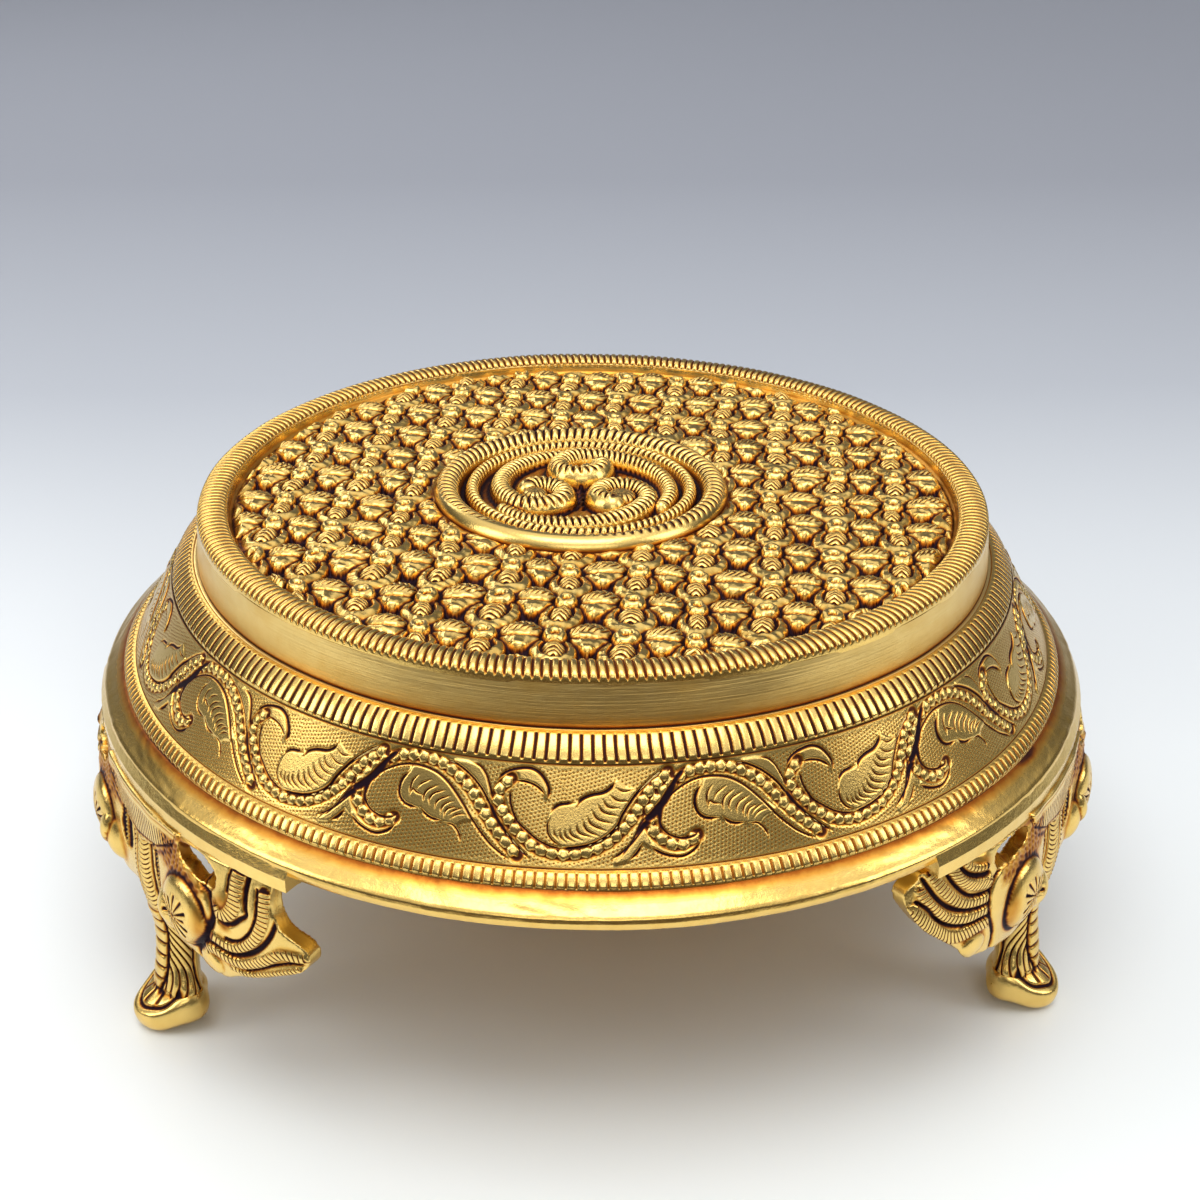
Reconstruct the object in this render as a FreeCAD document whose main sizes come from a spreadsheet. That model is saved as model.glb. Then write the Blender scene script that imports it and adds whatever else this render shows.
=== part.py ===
"""A round cast brass pedestal stand (bajot) on three scrolled legs.

Frame: millimetres, +Z up, the origin on the floor under the middle of the stand.
Azimuth zero points to the front (-Y) and grows towards +X. The legs stand at
-60, 60 and 180 degrees of azimuth. Every ring is drawn about the Z axis, and the
finished pieces are set forward together by frame_shift, because the back foot
reaches further out than the flange does at the front.
"""
import FreeCAD, Part
import Sketcher
import math
import os
import re

# Driving sizes in millimetres, degrees and counts
SIZES = {
    # from the middle of the whole stand to the axis of its rings
    "frame_shift": 3.1,
    # heights of the stack, from the floor up
    "leg_height": 56.0,
    "flange_lip": 2.2,
    "flange_rise": 3.0,
    "skirt_height": 21.6,
    "drum_height": 10.2,
    # base ring with its flange and the apron over each leg
    "flange_radius": 100.0,
    "flange_draft": 0.4,
    "flange_land": 0.2,
    "base_ring_width": 18.0,
    "apron_drop": 2.5,
    "apron_wall": 5.0,
    "apron_swell": 1.2,
    "apron_span": 52.0,
    # skirt: a cone with the frieze, between two milled beads
    "flange_tread": 4.2,
    "low_bead_inset": 2.5,
    "low_bead_rise": 2.4,
    "skirt_run": 8.4,
    "high_bead_rise": 3.8,
    "high_bead_inset": 4.6,
    "bead_bulge": 0.7,
    "skirt_wall": 3.2,
    "skirt_foot_thickness": 4.0,
    "skirt_foot_width": 11.3,
    "skirt_ledge_thickness": 2.5,
    # drum ring with the rope rim
    "ledge_width": 7.4,
    "drum_setback": 0.5,
    "drum_draft": 0.7,
    "drum_ledge_thickness": 3.2,
    "rim_shoulder_drop": 1.8,
    "rim_run": 2.8,
    "rim_inner_run": 2.9,
    "rim_inner_drop": 1.0,
    "rim_bulge": 0.3,
    # deck plate with the sunk field and its lattice of nuggets
    "deck_gap": 0.25,
    "deck_thickness": 5.0,
    "field_sink": 1.2,
    "nugget_rise": 2.0,
    "nugget_root": 0.3,
    "leaf_half_width": 3.5,
    "leaf_half_length": 3.6,
    "cup_half_width": 3.6,
    "cup_half_length": 4.6,
    "cup_across": 6.1,
    "cup_back": 5.7,
    "lattice_x": -1.5,
    "lattice_y": -49.3,
    "lattice_across": 12.2,
    "lattice_along": 12.75,
    "lattice_turn": 8.9,
    # medallion, set a little off the middle as the hand-made one is
    "medallion_x": -2.4,
    "medallion_y": 3.05,
    "medallion_radius": 30.2,
    "medallion_gap": 0.1,
    "medallion_sink": 2.5,
    "medallion_plate": 1.2,
    "rope_ring_tube": 2.4,
    "thin_ring_radius": 22.2,
    "thin_ring_tube": 1.2,
    "curl_circle_radius": 9.8,
    "curl_radius": 4.6,
    "curl_tube": 1.9,
    "curl_knob_radius": 2.6,
    "sweep_radius": 11.0,
    "sweep_span": 150.0,
    "stud_radius": 2.4,
    "stud_drop": 7.0,
    "stud_gap": 0.2,
    "stud_washer_radius": 5.0,
    "stud_washer_thickness": 1.0,
    "stud_nut_flat": 8.0,
    "stud_nut_height": 4.0,
    "thread_gap": 0.05,
    # screws that hold the rings together
    "screw_radius": 1.9,
    "screw_gap": 0.3,
    "screw_head_radius": 3.2,
    "screw_head_height": 2.4,
    "screw_head_dome": 0.5,
    "screw_slot_width": 1.0,
    "screw_slot_depth": 1.1,
    "screw_end_gap": 0.6,
    "deck_screw_inset": 4.0,
    "deck_screw_bite": 2.8,
    "deck_screw_count": 6.0,
    "skirt_screw_inset": 6.8,
    "skirt_screw_bite": 3.2,
    "leg_screw_inset": 6.5,
    "leg_screw_azimuth": 18.0,
    "leg_screw_bite": 4.0,
    "leg_washer_radius": 3.4,
    "leg_washer_thickness": 0.8,
    "leg_count": 3.0,
    # leg: seat pad, collar, cabriole, bosses and wings
    "pad_step": 2.5,
    "pad_thickness": 4.5,
    "pad_span": 50.0,
    "pad_gap": 0.3,
    "wing_reach": 50.0,
    "wing_thickness": 3.4,
    "wing_bulge": 3.4,
    "dome_radius": 47.4,
    "dome_azimuth": 14.0,
    "dome_height": 40.0,
    "hole_turn": 2.0,
    "root_depth": 3.3,
    "root_drop": 5.0,
    "root_start": 16.0,
    "root_stop": 21.5,
    "root_width": 9.0,
    "collar_sink": 5.2,
    "collar_swell": 1.8,
    "leg_axis_inset": 3.0,
    "leg_half_depth": 4.4,
    "leg_half_width": 6.0,
    "boss_swell": 0.4,
    "boss_azimuth": 7.8,
    "boss_height": 36.0,
    "boss_half_depth": 4.0,
    "boss_half_width": 3.5,
    "boss_half_height": 5.8,
    "toe_inset": 1.2,
    "toe_height": 4.3,
    "toe_half_length": 7.7,
    "toe_half_width": 6.9,
    "toe_half_height": 4.2,
    "toe_slant": 20.0,
    "cut_overrun": 1.0,
}

# Levels and radii that follow from the driving sizes
LEVELS = {
    "flange_top": "leg_height + flange_lip",
    "base_top": "flange_top + flange_rise",
    "skirt_top": "base_top + skirt_height",
    "stand_top": "skirt_top + drum_height",
    "deck_seat": "skirt_top + drum_ledge_thickness",
    "deck_top": "deck_seat + deck_thickness",
    "field_ground": "deck_top - field_sink",
    "medallion_seat": "deck_top - medallion_sink",
    "medallion_floor": "medallion_seat + medallion_plate",
    "skirt_ledge_foot": "skirt_top - skirt_ledge_thickness",
    "apron_foot": "leg_height - apron_drop",
    "pad_foot": "leg_height - pad_thickness",
    "base_bore_radius": "flange_radius - base_ring_width",
    "skirt_foot_radius": "flange_radius - flange_tread",
    "skirt_foot_bore_radius": "skirt_foot_radius - skirt_foot_width",
    "skirt_panel_foot_radius": "skirt_foot_radius - low_bead_inset",
    "high_bead_radius": "skirt_panel_foot_radius - skirt_run",
    "skirt_top_radius": "high_bead_radius - high_bead_inset",
    "drum_radius": "skirt_top_radius - drum_setback",
    "rim_crest_radius": "drum_radius - drum_draft - rim_run",
    "rim_inner_radius": "rim_crest_radius - rim_inner_run",
    "ledge_radius": "rim_inner_radius - ledge_width",
    "rope_ring_radius": "medallion_radius - medallion_gap - rope_ring_tube",
    "deck_screw_circle": "ledge_radius + deck_screw_inset",
    "skirt_screw_circle": "skirt_foot_radius - skirt_screw_inset",
    "leg_screw_circle": "base_bore_radius + leg_screw_inset",
    "apron_inner_radius": "flange_radius + apron_swell - apron_wall",
    "pad_inner_radius": "base_bore_radius + pad_step",
    "pad_outer_radius": "apron_inner_radius - pad_gap",
    "root_inner_radius": "pad_outer_radius - root_depth",
    "wing_crest_radius": "flange_radius + wing_bulge",
    "dome_offset": "wing_crest_radius - dome_radius",
    "collar_inner_radius": "flange_radius - collar_sink",
    "collar_outer_radius": "flange_radius + collar_swell",
    "leg_axis_radius": "flange_radius - leg_axis_inset",
    "boss_radius_out": "flange_radius + boss_swell",
    "toe_radius_out": "flange_radius - toe_inset",
    "hole_radius": "screw_radius + screw_gap",
    "tapped_radius": "screw_radius + thread_gap",
}

# The leg's cabriole, from the sole up: shares of the leg's height, of the step
# from its axis, of its half depth and of its half width
CABRIOLE_SHARES = (
    (0.090, 0.10, 0.95, 0.84),
    (0.150, 0.02, 1.00, 0.84),
    (0.215, -0.05, 0.96, 0.76),
    (0.290, -0.14, 0.90, 0.72),
    (0.390, -0.20, 0.88, 0.74),
    (0.535, 0.07, 1.00, 0.86),
    (0.680, 0.18, 1.05, 0.98),
    (0.800, 0.12, 0.98, 1.04),
    (0.900, 0.06, 0.88, 1.04),
)

# Outlines of the two wings: shares of the wing's reach in azimuth and of the
# leg's height. The fish-tail on the first side droops and on the other one lifts.
DROOPING_WING_SHARES = (
    (0.000, 0.500), (0.120, 0.495), (0.250, 0.515), (0.332, 0.508), (0.384, 0.548),
    (0.440, 0.575), (0.502, 0.628), (0.545, 0.662), (0.556, 0.698), (0.536, 0.750),
    (0.490, 0.800), (0.472, 0.860), (0.476, 0.955),
)
LIFTED_WING_SHARES = (
    (0.000, 0.500), (0.120, 0.500), (0.250, 0.520), (0.350, 0.556), (0.390, 0.568),
    (0.430, 0.616), (0.482, 0.692), (0.535, 0.765), (0.565, 0.830), (0.576, 0.880),
    (0.566, 0.912), (0.548, 0.930), (0.538, 0.942), (0.534, 0.955),
)
# The slanted hole between the collar and each wing, at its outer mouth
DROOPING_HOLE_SHARES = (
    (0.225, 0.930), (0.262, 0.945), (0.306, 0.935), (0.332, 0.900),
    (0.330, 0.855), (0.280, 0.865), (0.232, 0.890),
)
LIFTED_HOLE_SHARES = (
    (0.235, 0.930), (0.270, 0.945), (0.320, 0.940), (0.345, 0.910),
    (0.336, 0.870), (0.286, 0.880), (0.240, 0.900),
)
# The collar: a crescent that hangs below the apron
COLLAR_SHARES = (
    (-0.190, 0.955), (-0.175, 0.895), (-0.100, 0.830), (0.000, 0.795),
    (0.100, 0.820), (0.185, 0.880), (0.200, 0.955),
)

# Steps of the field's lattice across and along, counted from the leaf at lattice_x, lattice_y
LATTICE_COLUMNS = (-8, 9)
LATTICE_ROWS = (-3, 12)

LEG_AZIMUTHS = {"leg_front_left": -60.0, "leg_front_right": 60.0, "leg_back": 180.0}
CURL_AZIMUTHS = (86.0, 206.0, 326.0)

doc = FreeCAD.newDocument("bajot")
sheet = doc.addObject("Spreadsheet::Sheet", "Sizes")
for row, (alias, number) in enumerate(SIZES.items(), start=1):
    sheet.set("A%d" % row, alias)
    sheet.set("B%d" % row, str(number))
    sheet.setAlias("B%d" % row, alias)
doc.recompute()


def formula(text):
    """The sheet's expression for a sum written in plain names of sizes and levels."""

    def spell(match):
        word = match.group()
        if word in LEVELS:
            return "(" + formula(LEVELS[word]) + ")"
        return "Sizes." + word if word in SIZES else word

    return re.sub(r"[a-z][a-z_]*[a-z]", spell, text)


def size(text):
    """The number that such a sum comes to."""
    return float(sheet.evalExpression(formula(text)))


def bind(thing, **formulas):
    """Binds properties of an object to the sheet; __ stands for the dot."""
    for name, text in formulas.items():
        thing.setExpression(name.replace("__", "."), formula(text))


def origin_plane(body, role):
    return [item for item in body.Origin.OriginFeatures if item.Role == role][0]


def outline(body, name, role, corners):
    """A closed outline; a corner's third entry is the bulge of the stretch after it."""
    sketch = body.newObject("Sketcher::SketchObject", name)
    sketch.AttachmentSupport = [(origin_plane(body, role), "")]
    sketch.MapMode = "FlatFace"
    places = [FreeCAD.Vector(size(c[0]), size(c[1]), 0) for c in corners]
    starts = []
    for index, corner in enumerate(corners):
        here = places[index]
        there = places[(index + 1) % len(corners)]
        if len(corner) == 2:
            sketch.addGeometry(Part.LineSegment(here, there))
            starts.append(1)
            continue
        chord = there - here
        outward = FreeCAD.Vector(chord.y, -chord.x, 0).normalize()
        middle = (here + there) * 0.5 + outward * size(corner[2])
        sketch.addGeometry(Part.Arc(here, middle, there))
        near = sketch.getPoint(index, 1).distanceToPoint(here)
        far = sketch.getPoint(index, 2).distanceToPoint(here)
        starts.append(1 if near < far else 2)
    for index, corner in enumerate(corners):
        after = (index + 1) % len(corners)
        sketch.addConstraint(Sketcher.Constraint(
            "Coincident", index, 3 - starts[index], after, starts[after]))
        for kind, text, value in zip(
                ("DistanceX", "DistanceY"), corner[:2], (places[index].x, places[index].y)):
            number = sketch.addConstraint(
                Sketcher.Constraint(kind, -1, 1, index, starts[index], value))
            sketch.setExpression("Constraints[%d]" % number, formula(text))
        if len(corner) == 3:
            follow = corners[after]
            half = "(((%s) - (%s))^2 + ((%s) - (%s))^2) / (8 * (%s)) + (%s) / 2" % (
                follow[0], corner[0], follow[1], corner[1], corner[2], corner[2])
            number = sketch.addConstraint(Sketcher.Constraint("Radius", index, size(half)))
            sketch.setExpression("Constraints[%d]" % number, formula(half))
    return sketch


def turned(name, corners):
    """A body turned about Z from an outline in radius and height."""
    body = doc.addObject("PartDesign::Body", name)
    sketch = outline(body, name + "_profile", "XZ_Plane", corners)
    turn = body.newObject("PartDesign::Revolution", name + "_turn")
    turn.Profile = sketch
    turn.ReferenceAxis = (sketch, ["V_Axis"])
    turn.Angle = 360
    sketch.Visibility = False
    doc.recompute()
    return body


def patterned(body, name, features, count):
    """Repeats features of a body around Z."""
    pattern = body.newObject("PartDesign::PolarPattern", name)
    pattern.Originals = features
    z_axis = [item for item in body.Origin.OriginFeatures if item.Role == "Z_Axis"][0]
    pattern.Axis = (z_axis, [""])
    pattern.Angle = 360
    bind(pattern, Occurrences=count)
    body.Tip = pattern
    doc.recompute()


def bored(body, name, azimuth, circle, radius, floor, depth):
    """A round hole along Z, at an azimuth on a circle."""
    hole = body.newObject("PartDesign::SubtractiveCylinder", name)
    bind(hole, Radius=radius, Height=depth,
         Placement__Base__x="(%s) * sin(%s)" % (circle, azimuth),
         Placement__Base__y="0 - (%s) * cos(%s)" % (circle, azimuth),
         Placement__Base__z=floor)
    body.Tip = hole
    doc.recompute()
    return hole


def make_base_ring():
    """The flange that the skirt stands on, with an apron over each leg."""
    body = turned("base_ring", (
        ("base_bore_radius", "leg_height"),
        ("flange_radius - flange_draft", "leg_height"),
        ("flange_radius", "flange_top"),
        ("skirt_foot_radius + flange_land", "base_top"),
        ("base_bore_radius", "base_top"),
    ))
    sketch = outline(body, "apron_profile", "YZ_Plane", (
        ("apron_inner_radius", "apron_foot"),
        ("flange_radius + apron_swell", "apron_foot"),
        ("flange_radius + apron_swell", "leg_height"),
        ("flange_radius", "flange_top"),
        ("apron_inner_radius", "flange_top"),
    ))
    apron = body.newObject("PartDesign::Revolution", "apron")
    apron.Profile = sketch
    apron.ReferenceAxis = (sketch, ["V_Axis"])
    apron.Midplane = True
    bind(apron, Angle="apron_span")
    sketch.Visibility = False
    doc.recompute()
    patterned(body, "aprons", [apron], "leg_count")
    ways = [bored(body, "leg_screw_way_%d" % side, "180 + %d * leg_screw_azimuth" % side,
                  "leg_screw_circle", "tapped_radius", "leg_height - cut_overrun",
                  "leg_screw_bite + screw_end_gap + cut_overrun") for side in (-1, 1)]
    ways.append(bored(body, "skirt_screw_way", "0", "skirt_screw_circle", "hole_radius",
                      "leg_height - cut_overrun", "base_top - leg_height + 2 * cut_overrun"))
    patterned(body, "screw_ways", ways, "leg_count")
    return body


def make_skirt():
    """The frieze cone between its milled beads, with a foot and a ledge inside."""
    body = turned("frieze_skirt", (
        ("skirt_foot_bore_radius", "base_top"),
        ("skirt_foot_radius", "base_top", "bead_bulge"),
        ("skirt_panel_foot_radius", "base_top + low_bead_rise"),
        ("high_bead_radius", "skirt_top - high_bead_rise", "bead_bulge"),
        ("skirt_top_radius", "skirt_top"),
        ("ledge_radius", "skirt_top"),
        ("ledge_radius", "skirt_ledge_foot"),
        ("high_bead_radius - skirt_wall", "skirt_ledge_foot"),
        ("skirt_panel_foot_radius - skirt_wall", "base_top + skirt_foot_thickness"),
        ("skirt_foot_bore_radius", "base_top + skirt_foot_thickness"),
    ))
    foot = bored(body, "foot_screw_way", "0", "skirt_screw_circle", "tapped_radius",
                 "base_top - cut_overrun", "skirt_screw_bite + screw_end_gap / 2 + cut_overrun")
    patterned(body, "foot_screw_ways", [foot], "leg_count")
    ledge = bored(body, "ledge_screw_way", "0", "deck_screw_circle", "hole_radius",
                  "skirt_ledge_foot - cut_overrun", "skirt_ledge_thickness + 2 * cut_overrun")
    patterned(body, "ledge_screw_ways", [ledge], "deck_screw_count")
    return body


def make_drum_ring():
    """The plain drum with the rope rim on top and the ledge that carries the deck."""
    body = turned("drum_ring", (
        ("ledge_radius", "skirt_top"),
        ("drum_radius", "skirt_top"),
        ("drum_radius - drum_draft", "stand_top - rim_shoulder_drop", "rim_bulge"),
        ("rim_crest_radius", "stand_top", "rim_bulge"),
        ("rim_inner_radius", "stand_top - rim_inner_drop"),
        ("rim_inner_radius", "deck_seat"),
        ("ledge_radius", "deck_seat"),
    ))
    way = bored(body, "drum_screw_way", "0", "deck_screw_circle", "hole_radius",
                "skirt_top - cut_overrun", "drum_ledge_thickness + 2 * cut_overrun")
    patterned(body, "drum_screw_ways", [way], "deck_screw_count")
    return body


def make_deck_plate():
    """The round plate inside the rim, with a seat for the medallion."""
    body = turned("deck_blank", (
        ("0", "deck_seat"),
        ("rim_inner_radius - deck_gap", "deck_seat"),
        ("rim_inner_radius - deck_gap", "field_ground"),
        ("0", "field_ground"),
    ))
    way = bored(body, "deck_screw_hole", "0", "deck_screw_circle", "tapped_radius",
                "deck_seat - cut_overrun", "deck_screw_bite + screw_end_gap + cut_overrun")
    patterned(body, "deck_screw_holes", [way], "deck_screw_count")
    seat = body.newObject("PartDesign::SubtractiveCylinder", "medallion_pocket")
    bind(seat, Radius="medallion_radius", Height="medallion_sink + cut_overrun",
         Placement__Base__x="medallion_x", Placement__Base__y="medallion_y",
         Placement__Base__z="medallion_seat")
    hole = body.newObject("PartDesign::SubtractiveCylinder", "stud_hole")
    bind(hole, Radius="stud_radius + stud_gap", Height="deck_thickness + 2 * cut_overrun",
         Placement__Base__x="medallion_x", Placement__Base__y="medallion_y",
         Placement__Base__z="deck_seat - cut_overrun")
    body.Tip = hole
    doc.recompute()
    return joined("deck_plate", [body, make_field_nuggets()])


def lattice_place(across, along):
    """Sums for the place of a nugget, from its steps across and along the lattice."""
    return ("lattice_x + (%s) * cos(lattice_turn) + (%s) * sin(lattice_turn)" % (across, along),
            "lattice_y - (%s) * sin(lattice_turn) + (%s) * cos(lattice_turn)" % (across, along))


def make_field_nuggets():
    """Rows of leaf nuggets and oval cups that stand up from the ground of the field."""
    nuggets = []
    kinds = (("leaf", "leaf_half_width", "leaf_half_length", "0", "0"),
             ("cup", "cup_half_width", "cup_half_length", "cup_across", "cup_back"))
    turn = FreeCAD.Rotation(FreeCAD.Vector(0, 0, 1), -SIZES["lattice_turn"])
    middle = FreeCAD.Vector(size("medallion_x"), size("medallion_y"), 0)
    for kind, half_width, half_length, aside, back in kinds:
        widest = size("rim_inner_radius - deck_gap - (%s)" % half_length)
        for column in range(*LATTICE_COLUMNS):
            for row in range(*LATTICE_ROWS):
                x, y = lattice_place("%d * lattice_across + %s" % (column, aside),
                                     "%d * lattice_along - %s" % (row, back))
                place = FreeCAD.Vector(size(x), size(y), 0)
                if place.Length > widest:
                    continue
                if place.distanceToPoint(middle) < size("medallion_radius + nugget_rise"):
                    continue
                nugget = solid("Ellipsoid", "%s_%d" % (kind, len(nuggets)),
                               Radius1="nugget_rise + nugget_root", Radius2=half_width,
                               Radius3=half_length, Placement__Base__x=x, Placement__Base__y=y,
                               Placement__Base__z="field_ground - nugget_root")
                nugget.Angle1 = 0
                nugget.Placement.Rotation = turn
                nuggets.append(nugget)
    trimmed = doc.addObject("Part::Cut", "field_nuggets")
    trimmed.Base = joined("field_rows", nuggets)
    trimmed.Tool = solid("Cylinder", "medallion_clearance", Radius="medallion_radius",
                         Height="4 * nugget_rise", Placement__Base__x="medallion_x",
                         Placement__Base__y="medallion_y",
                         Placement__Base__z="field_ground - nugget_rise")
    return trimmed


def solid(kind, name, **formulas):
    """A plain solid of the Part kind, with its sizes and place bound to the sheet."""
    thing = doc.addObject("Part::" + kind, name)
    bind(thing, **formulas)
    return thing


def joined(name, pieces):
    """One solid fused from several."""
    whole = doc.addObject("Part::MultiFuse", name)
    whole.Shapes = pieces
    doc.recompute()
    return whole


def make_medallion():
    """A disc with a thick and a thin rope ring round three curls, and a stud below."""
    centre = dict(Placement__Base__x="medallion_x", Placement__Base__y="medallion_y")
    pieces = [
        solid("Cylinder", "medallion_disc", Radius="medallion_radius - medallion_gap",
              Height="medallion_plate", Placement__Base__z="medallion_seat", **centre),
        solid("Torus", "medallion_rope", Radius1="rope_ring_radius", Radius2="rope_ring_tube",
              Placement__Base__z="medallion_floor + rope_ring_tube / 4", **centre),
        solid("Torus", "medallion_thin_rope", Radius1="thin_ring_radius",
              Radius2="thin_ring_tube",
              Placement__Base__z="medallion_floor + thin_ring_tube / 3", **centre),
    ]
    for number, azimuth in enumerate(CURL_AZIMUTHS):
        across = "medallion_x + curl_circle_radius * cos(%s)" % azimuth
        along = "medallion_y + curl_circle_radius * sin(%s)" % azimuth
        pieces.append(solid(
            "Sphere", "curl_knob_%d" % number, Radius="curl_knob_radius",
            Placement__Base__x=across, Placement__Base__y=along,
            Placement__Base__z="medallion_floor + curl_knob_radius / 4"))
        pieces.append(solid(
            "Torus", "curl_%d" % number, Radius1="curl_radius", Radius2="curl_tube",
            Placement__Base__x=across, Placement__Base__y=along,
            Placement__Base__z="medallion_floor + curl_tube / 3"))
        sweep = solid(
            "Torus", "curl_sweep_%d" % number, Radius1="sweep_radius", Radius2="curl_tube",
            Angle3="sweep_span",
            Placement__Base__x="%s - (sweep_radius - curl_radius) * cos(%s)" % (across, azimuth),
            Placement__Base__y="%s - (sweep_radius - curl_radius) * sin(%s)" % (along, azimuth),
            Placement__Base__z="medallion_floor + curl_tube / 3")
        sweep.Placement.Rotation = FreeCAD.Rotation(FreeCAD.Vector(0, 0, 1), azimuth)
        pieces.append(sweep)
    face = doc.addObject("Part::Cut", "medallion_face")
    face.Base = joined("medallion_relief", pieces)
    face.Tool = solid("Cylinder", "medallion_underside", Radius="medallion_radius",
                      Height="2 * rope_ring_tube",
                      Placement__Base__z="medallion_seat - 2 * rope_ring_tube", **centre)
    stud = solid("Cylinder", "medallion_stud", Radius="stud_radius",
                 Height="stud_drop + deck_thickness - medallion_sink + medallion_plate / 2",
                 Placement__Base__z="deck_seat - stud_drop", **centre)
    return joined("medallion", [face, stud])


def make_stud_fasteners():
    """The washer and the nut under the deck that hold the medallion's stud."""
    centre = dict(Placement__Base__x="medallion_x", Placement__Base__y="medallion_y")
    washer_foot = "deck_seat - stud_washer_thickness"
    nut_foot = washer_foot + " - stud_nut_height"
    washer = doc.addObject("Part::Cut", "medallion_washer")
    washer.Base = solid("Cylinder", "washer_disc", Radius="stud_washer_radius",
                        Height="stud_washer_thickness", Placement__Base__z=washer_foot, **centre)
    washer.Tool = solid("Cylinder", "washer_bore", Radius="stud_radius + stud_gap",
                        Height="stud_washer_thickness + 2 * cut_overrun",
                        Placement__Base__z=washer_foot + " - cut_overrun", **centre)
    nut = doc.addObject("Part::Cut", "medallion_nut")
    nut.Base = solid("Prism", "nut_hexagon", Circumradius="stud_nut_flat / sqrt(3)",
                     Height="stud_nut_height", Placement__Base__z=nut_foot, **centre)
    nut.Tool = solid("Cylinder", "nut_bore", Radius="stud_radius + thread_gap",
                     Height="stud_nut_height + 2 * cut_overrun",
                     Placement__Base__z=nut_foot + " - cut_overrun", **centre)
    doc.recompute()
    return [washer, nut]


def make_screw(name, length):
    """A slotted pan-head screw: head down, its seat at the origin, shank along +Z."""
    body = turned(name, (
        ("0", "0 - screw_head_height"),
        ("screw_head_radius - screw_head_dome", "0 - screw_head_height"),
        ("screw_head_radius", "screw_head_dome - screw_head_height"),
        ("screw_head_radius", "0"),
        ("screw_radius", "0"),
        ("screw_radius", length),
        ("0", length),
    ))
    slot = body.newObject("PartDesign::SubtractiveBox", name + "_slot")
    bind(slot, Length="2 * screw_head_radius + 2 * cut_overrun", Width="screw_slot_width",
         Height="screw_slot_depth + cut_overrun",
         Placement__Base__x="0 - screw_head_radius - cut_overrun",
         Placement__Base__y="0 - screw_slot_width / 2",
         Placement__Base__z="0 - screw_head_height - cut_overrun")
    body.Tip = slot
    doc.recompute()
    return body


def make_group(name, pattern, azimuths, circle, seat):
    """Copies of one fastener on a circle, kept as separate solids of one node."""
    links = []
    for number, azimuth in enumerate(azimuths):
        link = doc.addObject("App::Link", "%s_%d" % (name, number))
        link.LinkedObject = pattern
        bind(link, Placement__Base__x="(%s) * sin(%s)" % (circle, azimuth),
             Placement__Base__y="0 - (%s) * cos(%s)" % (circle, azimuth),
             Placement__Base__z=seat)
        links.append(link)
    group = doc.addObject("Part::Compound", name)
    group.Links = links
    doc.recompute()
    return group


def make_fasteners():
    """The screws of the deck, the skirt and the legs, and the legs' washers."""
    thirds = [str(azimuth) for azimuth in LEG_AZIMUTHS.values()]
    beside = ["%s + %d * leg_screw_azimuth" % (a, side) for a in thirds for side in (-1, 1)]
    sixths = ["%d * 360 / deck_screw_count" % n for n in range(int(SIZES["deck_screw_count"]))]
    between = ["%s + 180" % azimuth for azimuth in thirds]
    deck_screw = make_screw(
        "deck_screw", "skirt_ledge_thickness + drum_ledge_thickness + deck_screw_bite")
    skirt_screw = make_screw("skirt_screw", "base_top - leg_height + skirt_screw_bite")
    leg_screw = make_screw("leg_screw", "leg_washer_thickness + pad_thickness + leg_screw_bite")
    washer = turned("leg_washer", (
        ("hole_radius", "0 - leg_washer_thickness"),
        ("leg_washer_radius", "0 - leg_washer_thickness"),
        ("leg_washer_radius", "0"),
        ("hole_radius", "0"),
    ))
    return [
        make_group("deck_screws", deck_screw, sixths, "deck_screw_circle", "skirt_ledge_foot"),
        make_group("skirt_screws", skirt_screw, between, "skirt_screw_circle", "leg_height"),
        make_group("leg_screws", leg_screw, beside, "leg_screw_circle",
                   "pad_foot - leg_washer_thickness"),
        make_group("leg_washers", washer, beside, "leg_screw_circle", "pad_foot"),
    ]


def sector(inner, outer, floor, height, start, stop):
    """A stretch of a flat ring between two azimuths, about +X."""
    up = FreeCAD.Vector(0, 0, 1)
    base = FreeCAD.Vector(0, 0, floor)
    full = Part.makeCylinder(outer, height, base, up, stop - start)
    bore = Part.makeCylinder(inner, height, base, up, stop - start)
    piece = full.cut(bore)
    piece.rotate(FreeCAD.Vector(0, 0, 0), up, start)
    return piece


def fanned(shares, side, closed, inward_turn):
    """A flat outline in azimuth and height, drawn out away from the Z axis.

    The outline turns towards the leg's middle, by so much per wing thickness inwards."""
    reach, height, crest = size("wing_reach"), size("leg_height"), size("wing_crest_radius")
    knots = [0.0]
    stops = shares + shares[:1] if closed else shares
    for here, there in zip(stops, stops[1:]):
        step = FreeCAD.Vector((there[0] - here[0]) * math.radians(reach) * crest,
                              (there[1] - here[1]) * height, 0)
        knots.append(knots[-1] + step.Length)
    wires = []
    for out in (crest * math.cos(math.radians(reach)), crest + size("cut_overrun")):
        turn = inward_turn * (crest - out) / size("wing_thickness")
        places = [FreeCAD.Vector(
            out, out * math.tan(math.radians(side * (share[0] * reach - turn))),
            share[1] * height) for share in shares]
        curve = Part.BSplineCurve()
        curve.interpolate(places, PeriodicFlag=closed, Parameters=knots)
        edges = [curve.toShape()]
        if not closed:
            corner = FreeCAD.Vector(out, 0, places[-1].z)
            edges += Part.makePolygon([places[-1], corner, places[0]]).Edges
        wires.append(Part.Wire(edges))
    return Part.makeLoft(wires, True, True)


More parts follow.
